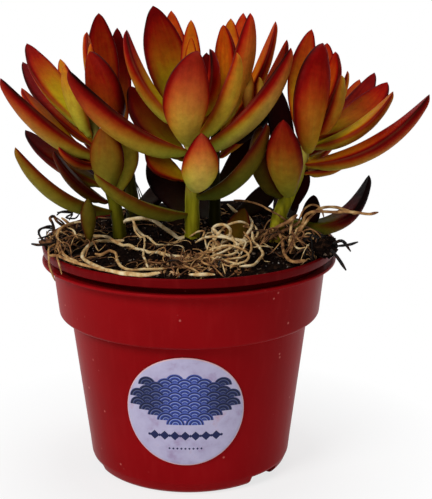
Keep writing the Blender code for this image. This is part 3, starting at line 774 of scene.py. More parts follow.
# each leaf: flush at base and tip (0 olive to 1 deep red), value (how dark or light the skin is painted,
# partly its own tone and partly painted shade and painted light), pale keel (the keel's own paleness with
# painted bounce light), sunlit (how much redder the side is that faces up)
leafTones = {
    "leaf_left_outer": (0.3, 1.16, 1.08, 0.4, 0.35), "leaf_left_second": (0.28, 0.8, 1.7, 0.3, 0.2),
    "leaf_left_far": (0.54, 1.15, 0.95, 0, 0), "leaf_left_tall": (-0.12, 1.06, 1.42, 0, 0),
    "leaf_left_back": (0.5, 0.62, 1.7, 0.2, 0), "leaf_left_inner": (0.16, 0.76, 1.45, 0, 0),
    "leaf_left_front": (0.14, 0.86, 0.54, 0.1, 0), "leaf_low_left": (0.02, 0.58, 0.56, 0.2, -0.15),
    "leaf_low_left_back": (0.3, 1.14, 0.38, 0, 0), "leaf_low_left_inner": (0.5, 0.86, 0.24, 0, 0),
    "leaf_back_tall": (0.58, 0.94, 0.98, 0, 0), "leaf_back_front": (0.66, 1.02, 0.92, 0, 0),
    "leaf_back_left": (0.5, 0.78, 1.7, 0.1, 0), "leaf_back_right": (0.36, 1.1, 1, 0, 0),
    "leaf_centre_long_left": (0.2, 1.28, 1.05, 0.2, 0.45),
    "leaf_centre_left": (0.04, 1.04, 1.38, 0.2, -0.2), "leaf_centre_back": (-0.06, 1.06, 0.95, 0, 0),
    "leaf_centre_far": (0.46, 0.8, 1.6, 0.1, 0), "leaf_centre_top": (0.5, 0.7, 1.65, 0, 0),
    "leaf_centre_front": (0.14, 1.22, 1.28, 0.3, 0), "leaf_centre_shade": (0.2, 1.3, 1.5, 0, 0),
    "leaf_centre_right": (0.12, 0.68, 1.7, 0.1, -0.2), "leaf_centre_long_right": (0.12, 1.1, 1.4, 0.9, 0.6),
    "leaf_centre_low_front": (-0.6, 1.15, 1.35, 0.8, 0), "leaf_centre_low_left": (0.44, 0.66, 0.8, 0, -0.1),
    "leaf_centre_low_right": (-0.2, 0.8, 0.3, 0, 0), "leaf_centre_lowest": (0.1, 0.34, 0.46, 0, -0.2),
    "leaf_centre_low_back": (0.3, 0.98, 0.5, 0, 0), "leaf_middle_left": (0.5, 0.8, 1.8, 0.1, 0),
    "leaf_middle_back": (0.5, 0.66, 1.8, 0.1, 0), "leaf_middle_far": (0.5, 0.88, 1.8, 0.1, 0),
    "leaf_middle_front": (0.34, 0.98, 1.8, 0.2, 0), "leaf_middle_right": (0.5, 0.8, 1.7, 0.5, 0),
    "leaf_middle_low_right": (0.6, 0.85, 1.7, 0, 0), "leaf_right_back": (0.24, 0.9, 1.3, 0.1, 0),
    "leaf_right_front": (0.4, 1.24, 1.12, 0, 0), "leaf_right_top": (0.5, 0.92, 1.3, 0, 0),
    "leaf_right_second": (0.5, 0.92, 1.7, 0.2, 0), "leaf_right_inner": (0.74, 0.54, 1.2, 0.1, 0),
    "leaf_right_shade": (0.4, 0.8, 1.6, 0.1, 0), "leaf_right_far": (0.5, 1.06, 1.1, 0, 0),
    "leaf_right_broad": (0.36, 0.94, 1.3, 0, 0), "leaf_right_edge": (0.24, 0.68, 1.28, 0.3, 0),
    "leaf_right_long": (0.5, 1.06, 1.02, 0.5, 0.35), "leaf_right_under": (0.5, 0.8, 1.2, 0.4, 0.1),
    "leaf_right_low_front": (0.1, 1.06, 0.62, 0, 0), "leaf_right_low_left": (0.3, 0.8, 0.22, 0.4, 0.1),
    "leaf_right_lowest": (-0.6, 1.9, 0.34, 0.4, -0.2)}


def leafSkin():
    # plump waxy leaf: olive at the base, through copper to deep red at the tip and along the margins
    material, tree, shader = newMaterial(
        "sun-flushed sedum leaf", IOR=1.42, Specular_IOR_Level=0.03, Subsurface_Weight=0.06,
        Subsurface_Radius=(0.004, 0.0015, 0.0006), Subsurface_Scale=0.5)
    along, across, under, flush, value, cream, leaf = (
        addNode(tree, "Attribute", attribute_name=name).outputs["Fac"]
        for name in ("along", "across", "under", "flush", "value", "cream", "leaf"))
    place = addNode(tree, "TexCoord").outputs["Object"]
    # how far each spot has turned from olive to red
    clouds = addNode(tree, "TexNoise", {"Vector": place, "Scale": perMetre(11.1), "Detail": 3.0})
    spread = addNode(tree, "MapRange", [clouds, 0.3, 0.7, -0.05, 0.05])
    grainAlong = addNode(tree, "Math", [along, 3.0], operation="MULTIPLY")
    grainAcross = addNode(tree, "Math", [across, 5.0], operation="MULTIPLY")
    grainPlace = addNode(tree, "CombineXYZ", [grainAlong, grainAcross, leaf])
    grain = addNode(tree, "TexNoise", {"Vector": grainPlace, "Scale": 1.0, "Detail": 3.0})
    streak = addNode(tree, "MapRange", [grain, 0.3, 0.7, -0.035, 0.035])
    below = addNode(tree, "MapRange", [under, 0.02, 0.35])
    margin = addNode(tree, "Math", [across, 6.0], operation="POWER")
    weight = addNode(tree, "MapRange", [below, 0, 1, 0.46, 0.24])
    edge = addNode(tree, "Math", [margin, weight, flush], operation="MULTIPLY_ADD")
    belly = addNode(tree, "Math", [under, -0.10, edge], operation="MULTIPLY_ADD")
    streaked = addNode(tree, "Math", [belly, streak], operation="ADD")
    turned = addNode(tree, "Math", [streaked, spread], operation="ADD")
    lower = addNode(tree, "ValToRGB", [turned], [
        (0.0, "#8c9634"), (0.25, "#968c28"), (0.46, "#99781e"), (0.62, "#9c5a14"), (0.76, "#94360b"),
        (0.90, "#861407"), (1.0, "#700504")])
    upper = addNode(tree, "ValToRGB", [turned], [
        (0.0, "#7c8012"), (0.28, "#90820e"), (0.48, "#94700a"), (0.62, "#945008"), (0.76, "#8c3206"),
        (0.90, "#801004"), (1.0, "#680404")])
    both = addNode(tree, "Mix", {0: below, 6: upper, 7: lower}, data_type="RGBA")
    # a pale keel underneath, partly painted bounce light, and a thin pale rim that is a painted highlight
    keel = addNode(tree, "MapRange", [under, 0.45])
    middle = addNode(tree, "ValToRGB", [along], [(0.05, 0.1), (0.25, 0.55), (0.60, 0.50), (0.88, 0.10)])
    keelPart = addNode(tree, "Math", [keel, middle], operation="MULTIPLY")
    # the pale keel is partly the keel's own paleness and partly painted bounce light
    keelFac = addNode(tree, "Math", [keelPart, cream], operation="MULTIPLY")
    pale = addNode(tree, "Mix", {0: keelFac, 6: both, 7: "#b08d4e"}, data_type="RGBA")
    # a thin pale line along the very margin: a painted highlight
    rim = addNode(tree, "Math", [across], operation="ABSOLUTE")
    rimHighlightFac = addNode(tree, "MapRange", [rim, 0.982, 0.997, 0, 0.1])
    rimHighlighted = addNode(tree, "Mix", {0: rimHighlightFac, 6: pale, 7: "#d08a58"}, data_type="RGBA")
    # mottled skin, darker along the margins, partly from deeper red and partly as painted form shade, and
    # nearly black where the flush runs far past deep red
    mottle = addNode(tree, "TexNoise", {
        "Vector": place, "Scale": perMetre(2.38), "Detail": 5.0, "Roughness": 0.7})
    patch = addNode(tree, "MapRange", [mottle, 0.3, 0.7, 0.92, 1.34])
    # near black where the flush runs far past deep red
    blackening = addNode(tree, "MapRange", [turned, 1.05, 1.5, 1.0, 0.06])
    # margins darker, partly their own deeper red and partly painted form shade
    hem = addNode(tree, "MapRange", [margin, 0, 1, 1.0, 0.66])
    hemmed = addNode(tree, "Math", [hem, blackening], operation="MULTIPLY")
    patchy = addNode(tree, "Math", [patch, hemmed], operation="MULTIPLY")
    # value scales each leaf by its painted shade and painted light, with some of its own tone
    shade = addNode(tree, "Math", [value, patchy], operation="MULTIPLY")
    toned = addNode(tree, "VectorMath", {0: rimHighlighted, 3: shade}, operation="SCALE")
    fine = addNode(tree, "TexNoise", {"Vector": place, "Scale": perMetre(1.11), "Detail": 3.0})
    waxy = addNode(tree, "MapRange", [fine, 0.3, 0.7, 0.46, 0.62])
    bump = addNode(tree, "Bump", {"Height": fine, "Strength": 0.12, "Distance": 0.0004})
    plug(shader, {"Base Color": toned, "Roughness": waxy, "Normal": bump})
    return material


def stepsAway(start, links):
    # how many edges lie between a corner and every other one
    away, queue = {start: 0}, [start]
    for v in queue:  # the queue grows as it is walked
        for n in links[v]:
            if n not in away:
                away[n] = away[v] + 1
                queue.append(n)
    return away


def readLeaf(node):
    # the solid's base, tip and rings: middle, half width with its direction, and depth of the keel
    work = bmesh.new()
    work.from_mesh(frame["nodes"][node].data)
    bmesh.ops.remove_doubles(work, verts=work.verts, dist=0.01 * mm)
    work.verts.ensure_lookup_table()
    points = np.array([v.co[:] for v in work.verts]) / mm
    links = [[e.other_vert(v).index for e in v.link_edges] for v in work.verts]
    work.free()
    count = len(leafLook["stations"])
    table = [stepsAway(v, links) for v in range(len(points))]
    poles = max(((a, b) for a in range(len(points)) for b in range(a) if table[a][b] == count + 1),
                key=lambda pair: np.linalg.norm(points[pair[0]] - points[pair[1]]))
    axes = np.vstack([smoothPath(stem[0], 60) for stem in stemLook.values()])
    base, tip = sorted(poles, key=lambda v: np.linalg.norm(axes - points[v], axis=1).min())
    across = None
    rows = [None] * count
    for k in [4, 5, 6, 7, 3, 2, 1, 0]:  # from the widest ring out, so that the direction across stays steady
        if k == 3:
            across = rows[4][1]
        ring = [v for v in range(len(points)) if table[base][v] == k + 1]
        spans = [(points[a] - points[b], a, b) for a in ring for b in ring]
        _, a, b = max(spans, key=lambda s: np.linalg.norm(s[0]) if across is None else s[0] @ across)
        centre, half = (points[a] + points[b]) / 2, (points[a] - points[b]) / 2
        across = unit(half)
        drops = [points[v] - centre - ((points[v] - centre) @ across) * across for v in ring]
        rows[k] = (centre, across, np.linalg.norm(half), max(drops, key=np.linalg.norm))
    return points[base], points[tip], rows


def shapeLeaf(base, tip, rows, seed):
    # rows: middle, direction across, half width, keel vector at each station
    p = leafLook
    knots = (0, *p["stations"], 1)
    middles, directions, halves, keels = (list(column) for column in zip(*rows))
    depths = [np.linalg.norm(keel) for keel in keels]
    spacing = np.concatenate([[0.004, 0.012, 0.028], np.linspace(0.055, 0.93, p["rings"] - 9),
                              [0.95, 0.966, 0.979, 0.989, 0.996, 0.9992]])
    centre = flowThrough(knots, [base, *middles, tip], spacing)
    side = unit(flowThrough(knots, [directions[0], *directions, directions[-1]], spacing))
    drops = [unit(keel) for keel in (keels[0], *keels, keels[-1])]
    drop = unit(flowThrough(knots, drops, spacing))
    heading = unit(np.gradient(centre, axis=0))
    side = unit(side - (side * heading).sum(1)[:, None] * heading)
    drop = unit(drop - (drop * side).sum(1)[:, None] * side)
    half = flowThrough(knots, [halves[0] * 0.97, *halves, halves[-1] * 0.25], spacing)
    depth = flowThrough(knots, [depths[0] * 0.95, *depths, depths[-1] * 0.3], spacing)
    half, depth = np.maximum(half, p["thinnest"]), np.maximum(depth, p["thinnest"])
    for end in (spacing, 1 - spacing):  # both ends close in a round cap
        cap = np.sqrt(1 - (1 - np.minimum(1, end / p["capShare"])) ** 2)
        half, depth = half * cap, depth * cap
    vertices, along, across, under, rise = [], [], [], [], []
    for j, t in enumerate(spacing):
        wobble = 1 + p["wobble"] * noise.noise(Vector((t * 5, seed * 3.1, 0.5)))
        for k in range(p["sides"]):
            a = fullTurn * k / p["sides"]
            c, s = math.cos(a), math.sin(a)
            if s >= 0:
                lift = -p["upperShare"] * depth[j] * s * (1 - p["channel"] * s ** 3)
            else:
                lift = depth[j] * abs(s) ** p["keelRound"]
            dent = p["dent"] * noise.noise(Vector((t * 7 + seed, c * 1.5, s * 1.5)))
            spot = centre[j] + side[j] * c * half[j] * wobble + drop[j] * (lift + dent * min(1, depth[j]))
            vertices.append(spot * mm)
            along.append(t)
            across.append(c)
            under.append(max(0.0, -s))
            rise.append((spot - centre[j])[2] / max(half[j], depth[j]))
    vertices += [base * mm, tip * mm]
    return vertices, along + [0, 1], across + [0, 0], under + [0.5, 0.5], rise + [0, 0]


def leafPiece(name, base, tip, rows, seed, tone, skin):
    vertices, along, across, under, rise = shapeLeaf(base, tip, rows, seed)
    count, sides = len(vertices), leafLook["sides"]
    flushLow, flushHigh, value, cream, sunlit = tone
    own = flushLow + 0.03 * noise.noise(Vector((seed * 1.7, 0.3, 0.9)))
    flush = [own + (flushHigh - flushLow) * t + sunlit * max(-0.25, min(1.0, up))
             for t, up in zip(along, rise)]
    return meshObject(name, vertices, stackFaces(count // sides, sides), skin, along=along, across=across,
                      under=under, flush=flush, value=[value] * count, cream=[cream] * count,
                      leaf=[seed * 7.3] * count)


def makeLeaves(skin):
    for seed, node in enumerate(sorted(n for n in frame["nodes"] if n.startswith("leaf_"))):
        base, tip, rows = readLeaf(node)
        sunk = base - unit(rows[1][0] - base) * leafLook["sink"]
        leaf = leafPiece(node + "_skin", sunk, tip, rows, seed, leafTones[node], skin)
        finishPiece(leaf, slotOf[node], node)


# smaller leaves: base, tip, width, thickness, bow, sway, roll, tone, slot
# the leaf_deep leaves, leaf_right_dark and leaf_right_stub are near black, as painted shade in the hollows
# among the stems
smallLeaves = {
    "leaf_left_under": ((-31, -7, 109), (-43, -13, 116), 4.5, 3.2, 1.5, 0, 0, (0.7, 0.9, 1.0, 0.4, 0),
        "leaf_copper"),
    "leaf_upright": ((-33.5, -18, 85), (-33.5, -18, 99.5), 5.4, 3.6, 0.5, 0, 20, (0.5, 0.5, 0.26, 0, 0),
        "leaf_olive"),
    "leaf_left_stub": ((-24.5, -8, 99), (-20.5, -10, 120), 7.4, 4.6, 1.5, 1, -70, (0.3, 0.5, 1.3, 0.1, 0),
        "leaf_olive"),
    "leaf_back_bright": ((-29, 11, 127), (-33, 6, 148), 4.5, 3.0, 1.0, 0, 0, (0.4, 0.8, 1.7, 0, 0),
        "leaf_copper"),
    "leaf_centre_bud": ((0, -9, 128), (1, -5, 151), 4.6, 3.2, 1.0, 0, 0, (0.3, 0.75, 1.6, 0.1, 0),
        "leaf_copper"),
    "leaf_centre_fill": ((5.2, -8, 115.5), (6.1, -5, 146), 8.5, 3.6, 1.0, 0, 0, (0.5, 1.3, 0.9, 0, 0),
        "leaf_red"),
    "leaf_middle_bud": ((20, 2, 124), (20, -1, 140), 4.5, 3.0, 1.0, 0, 0, (0.7, 0.62, 1.3, 0.4, 0),
        "leaf_copper"),
    "leaf_middle_pale": ((22, 4, 122), (24, 2, 137), 4.5, 3.0, 1.0, 0, 0, (0.5, 0.6, 1.7, 0.9, 0),
        "leaf_copper"),
    "leaf_right_bud": ((46, 2, 122), (54, 2, 139), 4.5, 3.0, 1.0, 0, 0, (0.45, 0.64, 1.8, 0.2, 0),
        "leaf_copper"),
    "leaf_right_sliver": ((40, -2, 124), (40, -2, 144), 5.0, 3.2, 1.0, 0, 0, (0.5, 0.9, 1.3, 0, 0),
        "leaf_red"),
    "leaf_right_dark": ((35, -9, 93), (40, -8, 107), 4.4, 2.6, 0.6, 0, 60, (0.8, 1, 0.08, 0, 0), "leaf_red"),
    "leaf_right_stub": ((38.5, -11, 84), (42, -12, 99), 6.5, 4.0, 0.6, 0, 75, (0.8, 1, 0.04, 0, 0),
        "leaf_red"),
    "leaf_withered": ((11, -18, 78), (18.5, -14, 95), 8.5, 3.0, 0.8, 0, 35, (0.4, 0.55, 0.26, 0, 0),
        "leaf_copper"),
    "leaf_deep_right": ((8, 8, 96), (26, 20, 118), 10, 4.6, 2.5, 0, 40, (0.5, 1, 0.04, 0, 0), "leaf_red"),
    "leaf_deep_middle": ((14, 8, 86), (32, 20, 98), 8, 4.2, 2.0, 0, 40, (0.3, 0.8, 0.03, 0, 0), "leaf_olive"),
    "leaf_deep_centre": ((0, -8, 90), (-13, 4, 111), 12, 4.6, 0.5, 0, -47, (0.5, 1, 0.03, 0, 0), "leaf_red"),
    "leaf_deep_low": ((7, 9, 84), (6, 26, 96), 9, 4.4, 2.0, 0, 0, (0.3, 0.8, 0.03, 0, 0), "leaf_olive"),
    "leaf_deep_foot": ((4, -2, 82), (-6, 6, 93), 10, 4.4, 1.0, 0, -65, (0.3, 0.8, 0.03, 0, 0), "leaf_olive"),
    "leaf_deep_left": ((-21, 11, 88), (-8, 26, 98), 9, 4.4, 2.0, 0, 0, (0.3, 0.8, 0.03, 0, 0), "leaf_olive"),
    "leaf_deep_side": ((-21, 12, 96), (-40, 24, 108), 9, 4.4, 2.5, 0, 0, (0.6, 1, 0.08, 0, 0), "leaf_red"),
    "leaf_deep_corner": ((31, -10, 86), (36, 14, 98), 9, 4.2, 1.0, 0, 10, (0.3, 0.8, 0.03, 0, 0),
        "leaf_olive"),
    "leaf_deep_edge": ((35, -8, 101), (30, 10, 134), 9, 4.6, 1.0, 0, 0, (0.6, 1, 0.05, 0, 0), "leaf_red"),
    "leaf_deep_gap": ((10, 8, 112), (33, 16, 130), 9, 4.4, 2.0, 0, 0, (0.6, 1, 0.04, 0, 0), "leaf_red")}


def rowsFor(base, tip, width, thick, bow, sway, roll):
    # the same rings as a solid leaf has, from its few sizes
    base, tip = np.array(base, dtype=float), np.array(tip, dtype=float)
    level = (tip - base) * (1, 1, 0)
    heading = unit(level) if np.linalg.norm(level) > 1.5 else np.array((0.0, -1.0, 0.0))
    side = np.array((-heading[1], heading[0], 0.0))
    upper = unit(np.cross(unit(tip - base), side))
    if upper @ (0, 0, 1) < -0.2:
        upper = -upper
    control = 0.5 * (base + tip) - 2 * bow * upper + 2 * sway * side
    rows = []
    for t, w, d in zip(leafLook["stations"], leafLook["widths"], leafLook["depths"]):
        centre = (1 - t) ** 2 * base + 2 * t * (1 - t) * control + t * t * tip
        along = unit(2 * (1 - t) * (control - base) + 2 * t * (tip - control))
        across = np.array(Matrix.Rotation(math.radians(roll), 3, Vector(along)) @ Vector(side))
        across = unit(across - (across @ along) * along)
        keel = -np.cross(along, across) * leafLook["keelShare"] * thick * d
        rows.append((centre, across, 0.5 * width * w, keel))
    return base, tip, rows


def makeSmallLeaves(skin):
    for seed, (name, (*sizes, tone, slot)) in enumerate(smallLeaves.items(), start=80):
        base, tip, rows = rowsFor(*sizes)
        finishPiece(leafPiece(name, base, tip, rows, seed, tone, skin), slot)


leafMaterial = leafSkin()
makeLeaves(leafMaterial)
makeSmallLeaves(leafMaterial)
print("leaves are on")


# dry roots
# strands: radius, tone (0 black to 1 pale), then points in mm, with heights above the pot's lip
rootStrands = {
    "bridge": (0.66, 0.92, ((-23, -3, 5), (-21, -11, 9), (-15, -16, 11), (-12, -19, 11), (-10, -17, 9),
        (-6, -13, 5), (-3, -14, 3), (0, -15, 2))),
    "bridgeEnd": (0.42, 0.86, ((-15, -16, 11), (-13, -19, 13), (-10, -23, 15))),
    "bridgeDrop": (0.44, 0.84, ((-19, -13, 10), (-18, -15, 8), (-17, -14, 6), (-15, -14, 4), (-11, -20, 2),
        (-8, -19, 1), (-4, -17, 1), (-1, -15, 1))),
    "plunge": (0.38, 0.8, ((-19, -9, 8), (-18, -12, 5), (-15, -17, 3), (-15, -25, 2), (-15, -30, 1),
        (-14, -36, 1), (-13, -42, 1))),
    "hook": (0.24, 0.85, ((-22, -5, 4), (-22, -8, 3), (-23, -9, 2), (-25, -5, 1))),
    "long": (0.6, 0.82, ((-39, -14, 6), (-38, -11, 3), (-36, -9, 3), (-32, -9, 3), (-28, -10, 3),
        (-25, -16, 3), (-21, -20, 2), (-18, -24, 2), (-15, -24, 1), (-11, -27, 1), (-8, -31, 1),
        (-2, -33, 1))),
    "loop": (0.6, 0.82, ((-22, -13, 2), (-25, -13, 2), (-28, -13, 2), (-32, -14, 2), (-34, -20, 2),
        (-35, -26, 1), (-34, -30, 0.4), (-30, -37, 0.3), (-26, -42, 0.3), (-21, -46, 0.3), (-16, -48, 0.3),
        (-13, -48, 0.4), (-9, -48, 1))),
    "inner": (0.5, 0.72, ((-31, -25, 1), (-29, -26, 1), (-26, -25, 2), (-24, -28, 1), (-23, -35, 1),
        (-21, -42, 1), (-18, -43, 0.5), (-14, -42, 0.5), (-11, -44, 1), (-7, -43, 1))),
    "tuftA": (0.4, 0.66, ((-44, -19, 5), (-43, -20, 8), (-41, -17, 9), (-38, -13, 9), (-34, -8, 8))),
    "tuftB": (0.5, 0.34, ((-45, -18, 6), (-45, -20, 10), (-46, -20, 12), (-45, -17, 12), (-44, -16, 10),
        (-42, -15, 8), (-41, -12, 6))),
    "tuftC": (0.5, 0.62, ((-43, -11, 10), (-41, -13, 9), (-39, -11, 6), (-38, -10, 3))),
    "tuftD": (0.35, 0.04, ((-45, -7, 10), (-44, -7, 11), (-42, -5, 11), (-40, -4, 10), (-41, -6, 8))),
    "tuftE": (0.4, 0.1, ((-45, -17, 4), (-47, -20, 4), (-49, -20, 5), (-50, -17, 6), (-50, -16, 7),
        (-48, -16, 8), (-46, -15, 8), (-45, -16, 6))),
    "stick": (0.45, 0.04, ((-52, -23, 4), (-49, -24, 4), (-44, -18, 3))),
    "tuftH": (0.34, 0.8, ((-34, -14, 9.4), (-38, -14, 9.1), (-41.3, -15, 8.4), (-43.3, -16, 7.5),
        (-44, -18, 5.9), (-43.3, -20, 4.4))),
    "tuftJ": (0.32, 0.74, ((-40.8, -16, 8), (-38.5, -17, 7.1), (-37.8, -18, 5.6), (-37.1, -19, 4.8))),
    "tuftK": (0.32, 0.5, ((-46.9, -12, 10.5), (-45.5, -14, 8.1), (-44.6, -17, 5.7), (-43.3, -20, 3.9),
        (-41.1, -27, 1.8), (-39, -29, 1.1))),
    "tuftL": (0.32, 0.34, ((-44.9, -12, 10.5), (-42.6, -14, 9.3), (-40.8, -16, 8))),
    "tuftM": (0.3, 0.02, ((-44.8, -8, 11.3), (-39.7, -8, 10.8), (-41.9, -8, 9.4), (-38.9, -8, 9),
        (-37.3, -6, 10.3))),
    "tuftN": (0.32, 0.02, ((-50.5, -16, 5.4), (-49.3, -15, 7.3), (-46, -14, 7), (-46, -15, 5.5),
        (-48.4, -16, 4.6), (-50.5, -17, 4.3))),
    "barkStub": (0.8, 0.22, ((-50, -20, 3.9), (-47.3, -20, 3.9), (-44.7, -20, 3.9))),
    "threadA": (0.18, 0.01, ((-19, 2, 22), (-17.5, 0, 17), (-16, -2, 12), (-15, -4, 8))),
    "threadB": (0.16, 0.01, ((-18.5, 2, 20), (-16.5, 0, 16), (-14.5, -2, 11))),
    "threadC": (0.22, 0.01, ((-26, -4, 10.5), (-24, -5, 11.5), (-21.5, -5, 11), (-20.5, -6, 9),
        (-21, -7, 7))),
    "threadD": (0.24, 0.01, ((-20, -4, 9), (-17, -4, 10), (-13.5, -5, 10), (-11, -6, 9))),
    "tuftG": (0.45, 0.62, ((-44, -18, 4), (-43, -23, 2), (-41, -26, 1), (-39, -30, 1), (-36, -34, 1))),
    "overLip": (0.35, 0.62, ((-44, -18, 3), (-46, -24, 3), (-46, -27, 1), (-45.5, -28.5, -3),
        (-44, -29, -7))),
    "overLipToo": (0.3, 0.56, ((-41, -22, 2), (-43, -28, 1), (-42.5, -30.5, 0), (-41.5, -31.5, -4))),
    "tuftI": (0.5, 0.6, ((-46, -27, 1), (-43, -27, 1), (-40, -31, 1), (-37, -35, 1), (-30, -40, 0.4))),
    "rim": (0.42, 0.64, ((-38, -32, 0.6), (-33, -37, 0.4), (-28, -41, 0.3), (-20, -45, 0.3),
        (-12, -48.5, 0.4))),
    "knotA": (0.55, 0.9, ((8, -19, 8), (8, -19, 6), (9, -24, 4), (13, -28, 4), (17, -24, 4), (19, -20, 6),
        (21, -17, 8), (21, -12, 9), (19, -8, 10), (16, -8, 11), (13, -9, 14))),
    "knotB": (0.6, 0.92, ((8, -22, 9), (8, -24, 9), (10, -24, 7), (13, -24, 6), (17, -24, 5),
        (20, -22, 5))),
    "knotRing": (0.5, 0.9, ((8, -22, 7), (8, -24, 9.5), (10, -26, 11), (12, -27, 11), (13.5, -26, 9),
        (13, -24, 6))),
    "knotC": (0.46, 0.84, ((21, -20, 7), (21, -24, 5), (23, -25, 3), (24, -30, 2), (22, -35, 1),
        (20, -40, 1), (16, -41, 1))),
    "knotD": (0.42, 0.66, ((17, -24, 5), (17, -28, 2), (15, -37, 1), (13, -43, 1))),
    "knotE": (0.45, 0.8, ((9, -22, 3), (8, -26, 2), (10, -32, 1))),
    "knotF": (0.5, 0.74, ((6, -20, 3), (8, -24, 3), (9, -28, 2.5), (7, -33, 1.5))),
    "knotG": (0.5, 0.6, ((18, -20, 9), (20, -17, 8), (21, -18, 6), (22, -20, 4))),
    "knotH": (0.42, 0.86, ((2, -22, 4), (5, -24, 6), (9, -26, 7), (13, -27, 6.5), (16, -28, 4.5),
        (15, -32, 3), (11, -34, 2.4), (7, -36, 2))),
    "knotJ": (0.4, 0.8, ((20, -18, 9), (17, -20, 10.5), (13, -22, 10), (10, -24, 8), (8, -27, 5),
        (8, -32, 3), (11, -37, 2), (16, -40, 1.4))),
    "knotK": (0.38, 0.76, ((4, -30, 2.4), (8, -30, 4), (12, -30, 5), (16, -31, 4.5), (19, -33, 3),
        (18, -38, 1.8), (13, -41, 1.4))),
    "knotL": (0.36, 0.84, ((22, -14, 8), (23, -18, 6.5), (22, -22, 5.5), (19, -26, 5), (15, -29, 4.6),
        (11, -32, 3.4), (6, -34, 2))),
    "knotM": (0.34, 0.7, ((18, -22, 7.5), (20, -26, 5.5), (20, -31, 3.5), (17, -35, 2.4), (12, -37, 2.2),
        (5, -39, 1.4))),
    "arch": (0.32, 0.5, ((15, -12, 16), (19, -15, 16.5), (23, -18, 16), (27, -19, 14), (31, -16, 11),
        (34, -14, 8), (36, -12, 4))),
    "braceA": (0.7, 0.48, ((22, -16, 3), (26, -15, 5), (30, -17, 8), (33, -20, 10.5), (36, -17, 12))),
    "braceB": (0.6, 0.42, ((23, -20, 2), (27, -17, 4), (31, -16, 6), (34, -18, 8), (37, -18, 10))),
    "reachA": (0.5, 0.55, ((33, -24, 3), (34, -21, 5), (36, -19, 7), (38, -16, 9), (39, -17, 12),
        (42, -20, 14), (47, -17, 13), (54, -17, 13), (60, -16, 12), (63, -18, 13))),
    "reachB": (0.5, 0.58, ((33, -29, 2), (35, -22, 5), (37, -19, 7), (39, -16, 9), (41, -17, 12),
        (44, -16, 14), (49, -14, 14), (53, -15, 13), (56, -16, 12))),
    "curlR": (0.4, 0.66, ((31, -12, 10), (30, -13, 8), (30, -15, 6), (31, -17, 5), (33, -17, 4))),
    "downR": (0.55, 0.46, ((30, -17, 6), (31, -20, 4), (31, -26, 2), (32, -33, 1), (34, -36, 1),
        (38, -34, 1))),
    "loopR": (0.36, 0.8, ((36, -19, 8), (35, -21, 6), (34.5, -25, 4), (36, -27, 3), (39, -26, 3.5),
        (41, -22, 5), (40, -18, 6), (38, -18, 5))),
    "twigR": (0.5, 0.7, ((33, -22, 2), (33.5, -21, 5), (34, -19, 9), (35, -17, 11))),
    "archR": (0.35, 0.5, ((36, -17, 8), (38, -16, 13), (41, -15, 15), (44, -16, 14), (45, -17, 11))),
    "darkR": (0.6, 0.03, ((46, -32, 4), (48.5, -32, 1), (51, -32, -3))),
    "darkS": (0.55, 0.05, ((47, -28, 5), (50, -29, 6), (53, -27, 2))),
    "darkT": (0.45, 0.03, ((48, -28, 4), (52, -30, 5), (55, -30, 6))),
    "frontChip": (0.6, 0.8, ((0, -48, 0.3), (4, -48.5, 0.5), (8, -48, 0.4)))}
# the strands that stand for solids of the part
solidRoots = {"bridge": "root_left", "loop": "root_front", "reachA": "root_right"}
fibreLook = {"seed": 11, "solidSides": 10, "strandSides": 8, "fineSides": 4, "wander": 0.5, "pointGap": 0.8,
             "overLip": 0.4, "strandMargin": 1.5, "fineMargin": 1.8, "fineLift": 0.3}
# loose tangles of fine fibres: centre, spread, count, radius, tone, length, lift
rootTangles = {
    "leftTangle": ((-41, -15), (5, 8), 40, 0.26, 0.38, 18, 7),
    "leftDark": ((-44, -12), (4, 6), 16, 0.24, 0.1, 14, 7),
    "leftRim": ((-40, -30), (4, 5), 10, 0.24, 0.4, 16, 1.2),
    "frontMat": ((3, -39), (9, 4), 46, 0.3, 0.43, 13, 2.4),
    "knotMat": ((13, -27), (6, 5), 20, 0.32, 0.6, 15, 5),
    "rightTangle": ((33, -18), (6, 7), 34, 0.28, 0.36, 18, 8),
    "rightDark": ((45, -25), (4, 6), 44, 0.26, 0.06, 12, 7),
    "rightGrey": ((45, -27), (4, 6), 18, 0.14, 0.62, 11, 6),
    "middleThreads": ((-14, -30), (14, 9), 26, 0.11, 0.45, 9, 0.8),
    "wholeTop": ((0, -5), (30, 26), 60, 0.12, 0.4, 9, 0.8),
    "backMat": ((4, 28), (24, 10), 36, 0.28, 0.45, 18, 2)}


def dryRoot():
    # dried root fibre: papery tan to grey brown, matt
    material, tree, shader = newMaterial("dried root fibre", Roughness=0.8, Specular_IOR_Level=0.2)
    place = addNode(tree, "TexCoord").outputs["Object"]
    tone = addNode(tree, "Attribute", attribute_name="tone").outputs["Fac"]
    clouds = addNode(tree, "TexNoise", {"Vector": place, "Scale": perMetre(2.63), "Detail": 5.0})
    spread = addNode(tree, "MapRange", [clouds, 0.3, 0.7, -0.24, 0.22])
    both = addNode(tree, "Math", [tone, spread], operation="ADD")
    colour = addNode(tree, "ValToRGB", [both], [(0.0, "#070403"), (0.18, "#241409"), (0.40, "#7a4f30"),
                                                (0.62, "#b68752"), (0.82, "#dab982"), (1.0, "#f2deb4")])
    bump = addNode(tree, "Bump", {"Height": clouds, "Strength": 0.6, "Distance": 0.0004})
    plug(shader, {"Base Color": colour, "Normal": bump})
    return material


